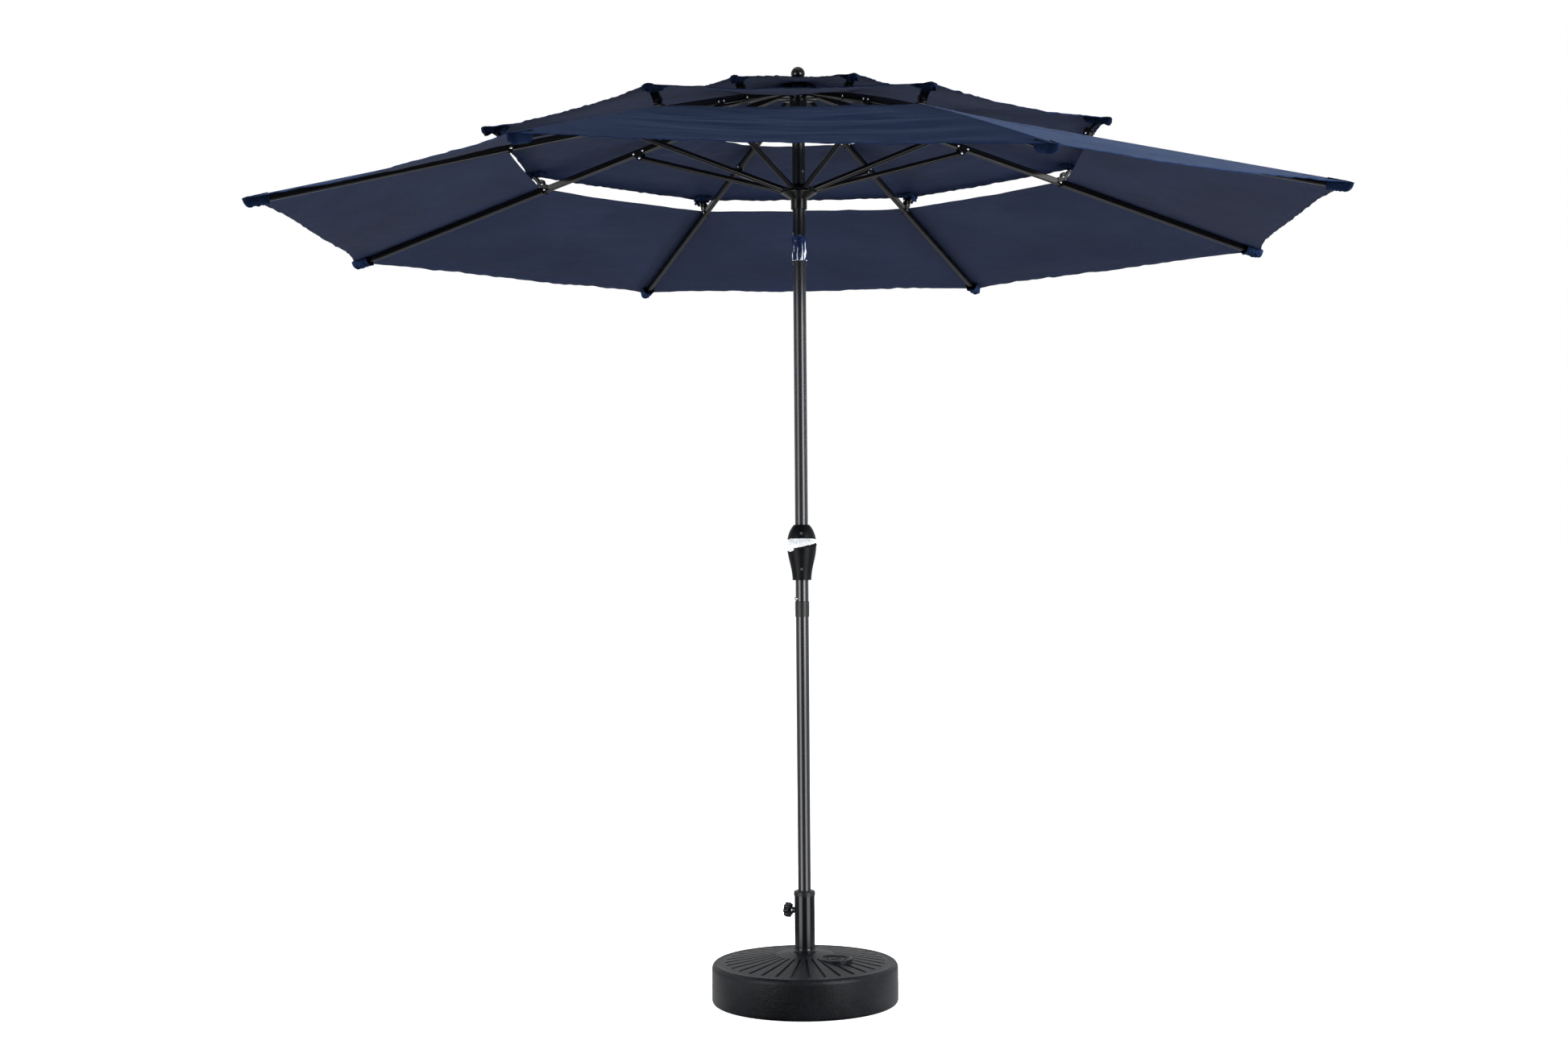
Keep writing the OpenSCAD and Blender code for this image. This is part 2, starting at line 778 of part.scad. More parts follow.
// Rivet places on the middle tube and on the upper tube: local z points outwards
module rivet_pair(z) {
    for (a = [0, 180])
        translate([0, 0, z]) rotate([0, 0, rivet_angle + a]) rotate([0, 90, 0]) children();
}
module mast_rivet_places() { rivet_pair(low_rivet_z) children(); }
module upper_rivet_places() {
    rivet_pair(high_rivet_z) children();
    translate([0, 0, stop_z]) rotate([0, 0, stop_angle]) rotate([0, 90, 0]) children();
}
module tube_rivet() {
    translate([0, 0, insert_r - 4]) cylinder(r = rivet_d / 2, h = pole_r - insert_r + 4 + eps);
    translate([0, 0, pole_r]) cylinder(r1 = rivet_head_d / 2, r2 = rivet_head_d / 3, h = 1.1);
}

module mast_rivets() { color("silver") mast_rivet_places() tube_rivet(); }
module upper_rivets() { color("silver") upper_rivet_places() tube_rivet(); }

module tilt_fork() {
    color("#3a3c40")
        difference() {
            union() {
                disc(tilt_z - tilt_half - insert_len, tilt_z - tilt_half + eps, insert_r);
                disc(tilt_z - tilt_half, tilt_z, pole_r);
                intersection() {
                    disc(tilt_z, tilt_z + pole_d, pole_r);
                    translate([0, 0, tilt_z]) across_x(disc_r, pole_d);
                }
            }
            translate([-tongue_t / 2 - slide, -pole_d, tilt_z - shoulder])
                cube([tongue_t + 2 * slide, 2 * pole_d, 2 * pole_d]);
            translate([0, 0, tilt_z]) across_x(tilt_pin_d / 2 + fit, 2 * pole_d);
            translate([0, cord_y, 0]) disc(tilt_z - tilt_half - insert_len - 1, tilt_z, cord_r);
            mast_rivet_places() cylinder(r = rivet_d / 2 + fit, h = pole_d);
        }
}

module tilt_tongue() {
    button_z = tilt_z + (shoulder + tilt_half) / 2;
    color("#3a3c40")
        difference() {
            union() {
                disc(tilt_z + tilt_half - eps, tilt_z + tilt_half + insert_len, insert_r);
                disc(tilt_z + shoulder, tilt_z + tilt_half, pole_r);
                intersection() {
                    disc(tilt_z - pole_d, tilt_z + shoulder + eps, pole_r);
                    translate([-tongue_t / 2, -pole_d, tilt_z - pole_d])
                        cube([tongue_t, 2 * pole_d, pole_d + shoulder + eps]);
                    union() {
                        translate([0, 0, tilt_z]) across_x(disc_r, pole_d);
                        disc(tilt_z, tilt_z + shoulder + eps, pole_r);
                    }
                }
            }
            translate([0, 0, tilt_z]) across_x(tilt_pin_d / 2 + run, 2 * pole_d);
            translate([0, cord_y, 0])
                disc(tilt_z - pole_d, tilt_z + tilt_half + insert_len + 1, cord_r);
            at_front(button_z, -4) rotate([90, 0, 0]) cylinder(r = button_d / 2 + run, h = pole_d);
            upper_rivet_places() cylinder(r = rivet_d / 2 + fit, h = pole_d);
        }
}

module tilt_pin() {
    color("silver") translate([0, 0, tilt_z]) across_x(tilt_pin_d / 2, pole_d - 3);
}

module tilt_button() {
    button_z = tilt_z + (shoulder + tilt_half) / 2;
    color("#0f1011")
        at_front(button_z, -8) rotate([90, 0, 0])
            cylinder(r = button_d / 2, h = pole_r + button_out - 8);
}

module upper_pole() {
    color("#232427")
        difference() {
            ring(tilt_z + tilt_half, pole_top, pole_r, bore_r);
            upper_rivet_places() cylinder(r = rivet_d / 2 + fit, h = pole_d);
            translate([0, 0, pulley_z]) across_y(pulley_pin_d / 2 + fit, 2 * pole_d);
        }
}

// ---- hub, runner and finial ----

pulley_z = hub_z - 55;
pulley_pin_d = 5;
hub_slot_r = hinge_r - 15.5;          // inner end of a slot, clear of the turning rib
roof_z = hub_z + 15.5;                // underside of the hub's roof
hub_top_z = roof_z + 6;
finial_stud_d = 8;

module rib_slots(r0, z0, z1) {
    for (k = [1:rib_count])
        rotate([0, 0, rib_angle(k)])
            translate([r0, -slot_w / 2, z0]) cube([2 * hub_r, slot_w, z1 - z0]);
}

// Pins across the slots of the hub or of the runner
module slot_pins(z, r, pin_r, len) {
    for (k = [1:rib_count])
        rotate([0, 0, rib_angle(k)]) translate([r, 0, z]) across_y(pin_r, len);
}

module top_hub() {
    sleeve_r = hub_slot_r - 1;
    sleeve_z = hub_z - 40;
    boss_z = canopy_top_z - 2;
    color("#17181a")
        difference() {
            union() {
                disc(hub_z - 14, roof_z, hub_r);
                translate([0, 0, roof_z]) cylinder(r1 = hub_r, r2 = hub_r - 6, h = hub_top_z - roof_z);
                disc(sleeve_z, hub_z, sleeve_r);
                disc(hub_z, boss_z, 11);
            }
            disc(sleeve_z - 1, pole_top, pole_r + fit);
            rib_slots(hub_slot_r, hub_z - 15, roof_z);
            slot_pins(hub_z, hinge_r, rib_pin_d / 2 + fit, slot_w + 10 + eps);
            disc(hub_z, boss_z + 1, finial_stud_d / 2 + fit);
        }
}

module hub_pins() {
    color("silver") {
        slot_pins(hub_z, hinge_r, rib_pin_d / 2, slot_w + 9);
        translate([0, 0, pulley_z]) across_y(pulley_pin_d / 2, pole_d - 1);
    }
}

// Wheel that leads the lift cord over the top of the mast
module pulley() {
    wheel_r = bore_r - 4;
    color("#d8d8d4")
        translate([0, 0, pulley_z]) rotate([90, 0, 0])
            rotate_extrude()
                polygon([
                    [pulley_pin_d / 2 + run, -4], [wheel_r, -4], [wheel_r - 3, 0],
                    [wheel_r, 4], [pulley_pin_d / 2 + run, 4]
                ]);
}

module finial() {
    foot_z = canopy_top_z + fabric_t + slide;
    ball_z = canopy_top_z + finial_rise;
    color("#101113") {
        translate([0, 0, ball_z]) sphere(d = finial_d);
        disc(foot_z, foot_z + 3, 15);
        disc(foot_z, ball_z - 10, 9);
        disc(pole_top + 6, foot_z + eps, finial_stud_d / 2);
    }
}

rim_top = runner_z + 4.5;
slot_floor = runner_z - strut_h / 2 - 0.6;
neck_low = runner_z - runner_dish_h - runner_neck_h;
runner_bore = pole_r + guide;

module runner() {
    color("#17181a")
        difference() {
            rotate_extrude()
                polygon(concat(
                    [[runner_bore, neck_low], [runner_neck_r - 1, neck_low],
                     [runner_neck_r, neck_low + 1],
                     [runner_neck_r, runner_z - runner_dish_h]],
                    arc(runner_r - 3, rim_top - 11, 3, -50, 0, 3),
                    arc(runner_r - 3, rim_top - 3, 3, 0, 90, 3),
                    [[runner_neck_r + 5, rim_top], [runner_neck_r + 2, rim_top + 11],
                     [runner_bore, rim_top + 11]]
                ));
            for (k = [1:rib_count])
                rotate([0, 0, rib_angle(k)])
                    translate([hinge_r - strut_h / 2 - 1, -slot_w / 2, slot_floor])
                        cube([2 * runner_r, slot_w, 40]);
            slot_pins(runner_z, hinge_r, strut_pin_d / 2 + fit, slot_w + 9 + eps);
        }
}

module runner_pins() {
    color("silver") slot_pins(runner_z, hinge_r, strut_pin_d / 2, slot_w + 8);
}

// ---- ribs and struts ----

module at_rib(k) {
    rotate([0, 0, rib_angle(k)])
        translate([hinge_r, 0, hub_z]) rotate([0, rib_slope, 0]) children();
}

module at_strut(k) {
    rotate([0, 0, rib_angle(k)])
        translate([hinge_r, 0, runner_z]) rotate([0, -strut_slope, 0]) children();
}

// Where an arm ends, just under the corner of its tier, in the rib's frame
arm_short = 3;
middle_tip = in_rib(middle_out_r, rib_z(middle_out_r) + middle_rise - arm_short);
top_tip = in_rib(top_out_r, rib_z(top_out_r) + top_rise - arm_short);
foot_rivets = [middle_tip[0] - middle_arm_r - 8, top_tip[0] - top_arm_r - 8];
plate_rivets = [strut_at - 15, strut_at + 15];

module rib(k) {
    color("#1d1e20")
        at_rib(k) difference() {
            translate([0, 0, rib_lift])
                bar_x(-rib_tail, rib_len) difference() {
                    soft_rect(rib_w, rib_h, rib_corner);
                    soft_rect(rib_w - 2 * rib_wall, rib_h - 2 * rib_wall, rib_corner - rib_wall);
                }
            across_y(rib_pin_d / 2 + run, 2 * rib_w);
            for (x = concat(foot_rivets, plate_rivets))
                translate([x, 0, rib_lift]) across_y(rivet_d / 2 + fit, 2 * rib_w);
        }
}

// Moulded bracket: a saddle on the rib, a curved arm that carries a corner of
// the tier above, and a short hook over the inner corner of the tier below
module tier_bracket(tip, arm_r) {
    foot_x = tip[0] - arm_r;
    top = rib_lift + rib_h / 2;
    side_t = 2.2;
    half = rib_w / 2;
    center_z = tip[1] - arm_r;
    rivet_up = top + 9;
    difference() {
        union() {
            // saddle: two cheeks and a bridge over the rib
            both_sides() plate_y(half, half + side_t) {
                translate([foot_x - 18, rib_lift - 6]) square([22, top - rib_lift + 8]);
                translate([foot_x - 5, rib_lift - 6]) circle(6, $fn = 32);
            }
            plate_y(-half - side_t, half + side_t)
                translate([foot_x - 18, top + slide]) square([22, 3]);
            // post that the arm grows from
            plate_y(-half, half) {
                translate([foot_x - 10, top + slide]) square([14, 16]);
                translate([foot_x - 3, top + 16]) circle(7, $fn = 32);
            }
            // arm: a crescent seen from the side, a leaf seen from above
            intersection() {
                plate_y(-arm_wide, arm_wide)
                    difference() {
                        intersection() {
                            translate([tip[0], center_z]) circle(arm_r, $fn = 96);
                            translate([foot_x - 1, top + 4])
                                square([arm_r + 1, tip[1] - top - 4 + 1]);
                        }
                        translate([tip[0] + 4, center_z - 3]) circle(arm_r - 3, $fn = 96);
                    }
                translate([foot_x - 12, 0, 0]) linear_extrude(tip[1] + 10)
                    intersection_for(s = [-1, 1])
                        translate([arm_r * 0.55, s * (2 * arm_r - arm_wide / 2)])
                            circle(2 * arm_r, $fn = 96);
            }
            // hook over the corner of the lower tier
            plate_y(-4, 4)
                difference() {
                    translate([foot_x + 9, top + 6.5]) circle(9.5, $fn = 48);
                    translate([foot_x + 11, top + 4]) circle(8.5, $fn = 48);
                    translate([foot_x - 20, -20]) square([60, 20 + top + fabric_gap + fabric_t + 1]);
                }
        }
        translate([foot_x - 8, 0, rib_lift]) across_y(rivet_d / 2 + fit, 4 * rib_w);
        translate([foot_x - 3, 0, rivet_up]) across_y(rivet_d / 2 + fit, 4 * rib_w);
    }
    translate([foot_x - 8, 0, rib_lift]) rivet(rib_w + 2 * side_t);
    translate([foot_x - 3, 0, rivet_up]) rivet(rib_w + 2 * run);
}

// Two steel cheeks under the rib with the strut's pin
module strut_bracket() {
    half = rib_w / 2;
    difference() {
        both_sides() plate_y(half, half + plate_t) {
            translate([strut_at, strut_pin_z]) circle(strut_h / 2 + 1, $fn = 32);
            polygon([
                [strut_at - 8, strut_pin_z], [strut_at + 8, strut_pin_z],
                [strut_at + 22, rib_lift], [strut_at + 22, rib_lift + 5],
                [strut_at - 22, rib_lift + 5], [strut_at - 22, rib_lift]
            ]);
        }
        translate([strut_at, 0, strut_pin_z]) across_y(strut_pin_d / 2 + fit, 4 * rib_w);
        for (x = plate_rivets) translate([x, 0, rib_lift]) across_y(rivet_d / 2 + fit, 4 * rib_w);
    }
    for (x = plate_rivets) translate([x, 0, rib_lift]) rivet(rib_w + 2 * plate_t);
    translate([strut_at, 0, strut_pin_z])
        rivet(rib_w + 2 * plate_t, strut_pin_d / 2, strut_pin_d / 2 + 2);
}

module rib_fittings(k) {
    color("#121314")
        at_rib(k) {
            tier_bracket(middle_tip, middle_arm_r);
            tier_bracket(top_tip, top_arm_r);
            strut_bracket();
            // plug with a round nose in the rib's end
            translate([0, 0, rib_lift]) {
                bar_x(rib_len - 15, rib_len + eps)
                    soft_rect(rib_w - 2 * rib_wall - 2 * fit, rib_h - 2 * rib_wall - 2 * fit,
                              rib_corner - rib_wall);
                intersection() {
                    bar_x(rib_len, rib_len + plug_len) soft_rect(rib_w, rib_h, rib_corner);
                    translate([rib_len, 0, 0]) union() {
                        across_y(plug_len, 2 * rib_w);
                        translate([-plug_len, -rib_w, -rib_h / 2]) cube([plug_len * 1.6, 2 * rib_w, rib_h]);
                    }
                }
            }
        }
}

module strut(k) {
    eye_r = strut_h / 2;
    plug = 20;
    color("#1d1e20")
        at_strut(k) difference() {
            union() {
                bar_x(plug - 6, strut_len - plug + 6) difference() {
                    soft_rect(strut_w, strut_h, strut_corner);
                    soft_rect(strut_w - 2 * strut_wall, strut_h - 2 * strut_wall,
                              strut_corner - strut_wall);
                }
                for (x = [0, strut_len - plug]) bar_x(x, x + plug)
                    soft_rect(strut_w, strut_h, strut_corner);
                for (x = [0, strut_len]) translate([x, 0, 0]) across_y(eye_r, strut_w);
            }
            for (x = [0, strut_len]) translate([x, 0, 0]) across_y(strut_pin_d / 2 + run, 2 * strut_w);
        }
}

// ---- canopy ----

// A point of a tier's lower face. The panel between two ribs is a flat strip
// that sags a little; its outer edge is cut in between the corners.
function panel_point(T, i, j, lift) =
    let (
        panel = floor(i / T[6]) + 1,
        u = sin(90 * (2 * (i % T[6]) / T[6] - 1)),
        out_r = T[2] - T[4] * (1 - pow(u, 4)),
        down = j / T[7],
        r = T[0] + (out_r - T[0]) * down,
        z = T[1] + (T[3] - T[1]) * (r - T[0]) / (T[2] - T[0]),
        a = rib_angle(panel),
        b = rib_angle(panel + 1),
        sag = T[5] * (1 - u * u) * (0.25 + 0.75 * sin(90 * down))
    )
    [
        r * ((1 - u) * cos(a) + (1 + u) * cos(b)) / 2,
        r * ((1 - u) * sin(a) + (1 + u) * sin(b)) / 2,
        z - sag + lift
    ];

// A closed sheet: the lower face, the upper face and the two edges
module tier_sheet(T) {
    around = rib_count * T[6];
    rows = T[7] + 1;
    function at(i, j, s) = s * around * rows + (i % around) * rows + j;
    points = [
        for (s = [0, 1], i = [0:around - 1], j = [0:rows - 1]) panel_point(T, i, j, s * fabric_t)
    ];
    faces = concat(
        [for (i = [0:around - 1], j = [0:rows - 2]) [at(i, j, 0), at(i, j + 1, 0), at(i + 1, j, 0)]],
        [for (i = [0:around - 1], j = [0:rows - 2])
            [at(i + 1, j, 0), at(i, j + 1, 0), at(i + 1, j + 1, 0)]],
        [for (i = [0:around - 1], j = [0:rows - 2]) [at(i, j, 1), at(i + 1, j, 1), at(i, j + 1, 1)]],
        [for (i = [0:around - 1], j = [0:rows - 2])
            [at(i + 1, j, 1), at(i + 1, j + 1, 1), at(i, j + 1, 1)]],
        [for (i = [0:around - 1]) [at(i, rows - 1, 0), at(i, rows - 1, 1), at(i + 1, rows - 1, 0)]],
        [for (i = [0:around - 1])
            [at(i + 1, rows - 1, 0), at(i, rows - 1, 1), at(i + 1, rows - 1, 1)]],
        [for (i = [0:around - 1]) [at(i, 0, 0), at(i + 1, 0, 0), at(i, 0, 1)]],
        [for (i = [0:around - 1]) [at(i + 1, 0, 0), at(i + 1, 0, 1), at(i, 0, 1)]]
    );
    color("#1f2c4e") polyhedron(points, faces);
}

module canopy_lower() { tier_sheet(LOWER); }
module canopy_middle() { tier_sheet(MIDDLE); }
module canopy_top() { tier_sheet(TOP); }

base_tank();
sand_ballast();
stem_tube();
stem_collar();
stem_bush();
filler_cap();
clamp_knob();
clamp_bolt();
lower_pole();
pole_foot();
joint_collar();
joint_insert();
middle_pole();
housing_front();
housing_back();
housing_screws();
tilt_fork();
mast_rivets();
snap_button();
tilt_button();
crank_axle();
crank_arm();
crank_grip();
tilt_tongue();
tilt_pin();
upper_pole();
upper_rivets();
top_hub();
hub_pins();
pulley();
finial();
canopy_lower();
canopy_middle();
canopy_top();
runner();
runner_pins();
rib(1);  // rib_1
rib(2);  // rib_2
rib(3);  // rib_3
rib(4);  // rib_4
rib(5);  // rib_5
rib(6);  // rib_6
rib(7);  // rib_7
rib(8);  // rib_8
rib_fittings(1);  // rib_fittings_1
rib_fittings(2);  // rib_fittings_2
rib_fittings(3);  // rib_fittings_3
rib_fittings(4);  // rib_fittings_4
rib_fittings(5);  // rib_fittings_5
rib_fittings(6);  // rib_fittings_6
rib_fittings(7);  // rib_fittings_7
rib_fittings(8);  // rib_fittings_8
strut(1);  // strut_1
strut(2);  // strut_2
strut(3);  // strut_3
strut(4);  // strut_4
strut(5);  // strut_5
strut(6);  // strut_6
strut(7);  // strut_7
strut(8);  // strut_8
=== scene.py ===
# %% [markdown]
# # Dressing a market umbrella
#
# The rigid parts of the umbrella arrive ready made: tubes, joints, ribs, struts,
# hub, runner and base tank. This script gives them their finishes and makes what
# is soft: the three tiers of cloth, their pockets, and the wrapping that still
# sits on the crank and on the tilt joint. Every length is in metres.

# %% Load the frame
import json
import math

import bmesh
import bpy
from mathutils import Matrix, Vector, noise


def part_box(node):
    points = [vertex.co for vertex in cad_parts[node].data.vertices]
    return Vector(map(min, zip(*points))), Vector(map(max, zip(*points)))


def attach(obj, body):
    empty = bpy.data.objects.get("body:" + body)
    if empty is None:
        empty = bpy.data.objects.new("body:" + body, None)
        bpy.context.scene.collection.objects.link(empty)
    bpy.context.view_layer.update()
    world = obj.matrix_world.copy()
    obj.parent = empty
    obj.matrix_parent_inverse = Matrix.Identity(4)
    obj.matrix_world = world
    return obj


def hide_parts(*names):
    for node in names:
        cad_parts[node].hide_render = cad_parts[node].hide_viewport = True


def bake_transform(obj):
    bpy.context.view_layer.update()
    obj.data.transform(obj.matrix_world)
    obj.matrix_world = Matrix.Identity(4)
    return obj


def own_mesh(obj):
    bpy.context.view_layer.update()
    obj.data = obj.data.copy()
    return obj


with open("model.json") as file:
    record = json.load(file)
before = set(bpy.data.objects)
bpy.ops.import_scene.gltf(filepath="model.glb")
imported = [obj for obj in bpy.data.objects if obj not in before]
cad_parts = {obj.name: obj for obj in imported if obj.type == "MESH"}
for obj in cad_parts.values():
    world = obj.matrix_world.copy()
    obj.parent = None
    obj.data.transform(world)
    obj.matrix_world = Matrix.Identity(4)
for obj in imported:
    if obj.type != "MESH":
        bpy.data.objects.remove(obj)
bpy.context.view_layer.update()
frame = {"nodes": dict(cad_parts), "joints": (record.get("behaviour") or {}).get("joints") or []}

# %% [markdown]
# ## The camera
#
# The umbrella is seen from the front, from the height of a person's chest, with
# a level camera. A level camera keeps the sides of a tall thing parallel, and
# the lens is shifted up instead, so that the canopy fits in. The camera stands
# two degrees round the mast, looks 5 cm past it and leans by half a degree.

# %% The camera
eye_height = 1.2165
eye_distance = 5.65
eye_orbit = math.radians(1.97)
mast_aside = 0.0486
camera_roll = math.radians(0.464)

lens = bpy.data.cameras.new("camera")
lens.lens = 47.5
lens.sensor_width = 36
lens.shift_y = 0.0215
camera = bpy.data.objects.new("camera", lens)
bpy.context.scene.collection.objects.link(camera)
forward = Vector((-math.sin(eye_orbit), math.cos(eye_orbit), 0))
to_right = Vector((math.cos(eye_orbit), math.sin(eye_orbit), 0))
stand = Vector((0, 0, eye_height)) - forward * eye_distance - to_right * mast_aside
camera.matrix_world = (
    Matrix.Translation(stand)
    @ Matrix.Rotation(eye_orbit, 4, "Z")
    @ Matrix.Rotation(math.pi / 2, 4, "X")
    @ Matrix.Rotation(-camera_roll, 4, "Z")
)
bpy.context.scene.camera = camera
bpy.context.scene.view_settings.view_transform = "Standard"
print("camera at", [round(x, 3) for x in stand])

# %% [markdown]
# ## Three helpers
#
# Colours are easiest to read as the hex values of a paint program, but a shader
# works in linear light, so one function converts them. The other adds a node,
# sets it up and links it in one call, which keeps each material short. Sockets
# without a name of their own go by number: a map range takes the span 1 to 2 to
# the span 3 to 4, and a mix goes from 2 to 3, or from 6 to 7 for a colour. The
# third helper turns a bmesh, in which every shape here is made, into an object.


# %% Colours, nodes and objects
def linear(hex_colour):
    """The shader's colour for an sRGB hex value such as "#1f2c4e"."""
    parts = [int(hex_colour[i : i + 2], 16) / 255 for i in (1, 3, 5)]
    return [
        p / 12.92 if p <= 0.04045 else ((p + 0.055) / 1.055) ** 2.4 for p in parts
    ] + [1.0]


def add_node(tree, kind, inputs=None, **settings):
    """Adds a node. inputs gives, by name or number, a value or a socket to link."""
    node = tree.nodes.new(kind)
    for key, value in settings.items():
        setattr(node, key, value)
    for key, value in (inputs or {}).items():
        if isinstance(value, bpy.types.NodeSocket):
            tree.links.new(value, node.inputs[key])
        else:
            node.inputs[key].default_value = value
    return node


def as_object(bm, name, *materials):
    """Turns a finished bmesh into an object of the scene."""
    mesh = bpy.data.meshes.new(name)
    bm.to_mesh(mesh)
    bm.free()
    for material in materials:
        mesh.materials.append(material)
    made = bpy.data.objects.new(name, mesh)
    bpy.context.scene.collection.objects.link(made)
    return made


print("navy is", [round(c, 4) for c in linear("#1f2c4e")[:3]])

# %% [markdown]
# ## Light and floor
#
# A studio for black metal is a matter of what it mirrors. Two tall soft boxes in
# front, left and right, draw the two long streaks on the mast, and a wide one
# over the canopy lights its top. The backdrop behind the object is white, and
# the side where the camera stands is dark, so that black stays black. The
# backdrop's white is only for the eye and for reflections, and lights nothing.

# %% The world
ambient = 0.3
world = bpy.data.worlds.new("studio")
bpy.context.scene.world = world
world.use_nodes = True
tree = world.node_tree
tree.nodes.clear()
ray = add_node(tree, "ShaderNodeLightPath")
place = add_node(tree, "ShaderNodeTexCoord")
sides = add_node(tree, "ShaderNodeSeparateXYZ", {0: place.outputs["Generated"]})
behind = add_node(
    tree, "ShaderNodeMapRange",
    {"Value": sides.outputs["Y"], 1: -0.25, 2: 0.6, 3: 0.12, 4: 0.5},
)
seen = add_node(
    tree, "ShaderNodeMath",
    {0: ray.outputs["Is Camera Ray"], 1: ray.outputs["Is Transmission Ray"]},
    operation="MAXIMUM",
)
plain = add_node(
    tree, "ShaderNodeMix",
    {0: ray.outputs["Is Glossy Ray"], 2: ambient, 3: behind.outputs[0]},
    data_type="FLOAT",
)
strength = add_node(
    tree, "ShaderNodeMix", {0: seen.outputs[0], 2: plain.outputs[0], 3: 1.0}, data_type="FLOAT"
)
back = add_node(
    tree, "ShaderNodeBackground", {"Color": linear("#ffffff"), "Strength": strength.outputs[0]}
)
add_node(tree, "ShaderNodeOutputWorld", {"Surface": back.outputs[0]})
print("world light", ambient)


# %% The lamps
def soft_box(name, azimuth, distance, height, size, watts, aim=1.3):
    """A tall area lamp that looks at the mast. Azimuth 0 is the camera's side."""
    lamp = bpy.data.lights.new(name, "AREA")
    lamp.shape = "RECTANGLE"
    lamp.size, lamp.size_y = size
    lamp.energy = watts
    box = bpy.data.objects.new(name, lamp)
    bpy.context.scene.collection.objects.link(box)
    turn = math.radians(azimuth)
    at = Vector((distance * math.sin(turn), -distance * math.cos(turn), height))
    look = (Vector((0, 0, aim)) - at).to_track_quat("-Z", "Y")
    box.matrix_world = Matrix.Translation(at) @ look.to_matrix().to_4x4()
    return box


right_azimuth, left_azimuth = 46, -48
soft_box("box_right", right_azimuth, 4.4, 2.1, (2.5, 2.9), 112)
soft_box("box_left", left_azimuth, 4.6, 2.0, (2.8, 2.9), 58)
soft_box("box_over", 0, 0.6, 6.2, (5.0, 5.0), 32)
# Two fills from the sides skim over the cloth and under it. Mirrors don't show
# them, because the black metal would get a bright rim.
for name, azimuth, watts in (("fill_right", 97, 620), ("fill_left", -97, 400)):
    fill = soft_box(name, azimuth, 4.2, 2.15, (2.0, 1.6), watts, aim=2.0)
    fill.visible_glossy = False

# %% The floor
floor_half = 40
bm = bmesh.new()
bmesh.ops.create_grid(bm, x_segments=1, y_segments=1, size=floor_half)
floor_material = bpy.data.materials.new("pale_floor_paint")
floor = as_object(bm, "floor", floor_material)
floor_material.use_nodes = True
tree = floor_material.node_tree
tree.nodes.clear()
place = add_node(tree, "ShaderNodeTexCoord")
away = add_node(tree, "ShaderNodeVectorMath", {0: place.outputs["Object"]}, operation="LENGTH")
# To the eye the paint glows, less near the base, where a soft shade is left.
fade = add_node(
    tree, "ShaderNodeMapRange",
    {"Value": away.outputs["Value"], 1: 0.7, 2: 2.6, 3: 0.66, 4: 1.0},
    interpolation_type="SMOOTHSTEP",
)
paint = add_node(tree, "ShaderNodeBsdfDiffuse", {"Color": linear("#d8d8d8")})
glow = add_node(
    tree, "ShaderNodeEmission", {"Color": linear("#ffffff"), "Strength": fade.outputs[0]}
)
lit = add_node(tree, "ShaderNodeAddShader", {0: paint.outputs[0], 1: glow.outputs[0]})
# In mirrors the floor glows with painted light: bright behind the object, dark
# in front, with a painted pool of light on either side, where a soft box stands.
part = add_node(tree, "ShaderNodeSeparateXYZ", {0: place.outputs["Object"]})
turned = add_node(
    tree, "ShaderNodeMath", {0: part.outputs["X"], 1: part.outputs["Y"]}, operation="ARCTAN2"
)
spread = add_node(tree, "ShaderNodeMath", {0: turned.outputs[0]}, operation="ABSOLUTE")
from_box = add_node(
    tree, "ShaderNodeMath", {0: spread.outputs[0], 1: math.radians(180 - right_azimuth)},
    operation="SUBTRACT",
)
near_box = add_node(tree, "ShaderNodeMath", {0: from_box.outputs[0]}, operation="ABSOLUTE")
painted_pool = add_node(
    tree, "ShaderNodeMapRange",
    {"Value": near_box.outputs[0], 1: 0.22, 2: 0.42, 3: 3.2, 4: 0.06},
    interpolation_type="SMOOTHSTEP",
)
clear = add_node(
    tree, "ShaderNodeMapRange",
    {"Value": away.outputs["Value"], 1: 0.7, 2: 1.1, 3: 0.0, 4: 1.0},
)
# Close to the base this painted glow is dark in front and brighter towards both sides.
painted_side_glow = add_node(
    tree, "ShaderNodeMapRange",
    {"Value": spread.outputs[0], 1: math.radians(100), 2: math.radians(150), 3: 0.55, 4: 0.0},
)
rear = add_node(tree, "ShaderNodeMapRange", {"Value": part.outputs["Y"], 1: 0.0, 2: 0.9})
depth = add_node(
    tree, "ShaderNodeMapRange",
    {"Value": away.outputs["Value"], 1: 1.2, 2: 4.0, 3: 0.04, 4: 0.36},
)
far = add_node(
    tree, "ShaderNodeMix", {0: rear.outputs[0], 2: painted_pool.outputs[0], 3: depth.outputs[0]},
    data_type="FLOAT",
)
mirror = add_node(
    tree, "ShaderNodeMix",
    {0: clear.outputs[0], 2: painted_side_glow.outputs[0], 3: far.outputs[0]}, data_type="FLOAT",
)
painted_mirror_glow = add_node(tree, "ShaderNodeEmission", {"Strength": mirror.outputs[0]})
ray = add_node(tree, "ShaderNodeLightPath")
seen = add_node(
    tree, "ShaderNodeMixShader",
    {0: ray.outputs["Is Camera Ray"], 1: paint.outputs[0], 2: lit.outputs[0]},
)
mirrored = add_node(
    tree, "ShaderNodeMixShader",
    {0: ray.outputs["Is Glossy Ray"], 1: seen.outputs[0], 2: painted_mirror_glow.outputs[0]},
)
add_node(tree, "ShaderNodeOutputMaterial", {"Surface": mirrored.outputs[0]})
print("floor laid")

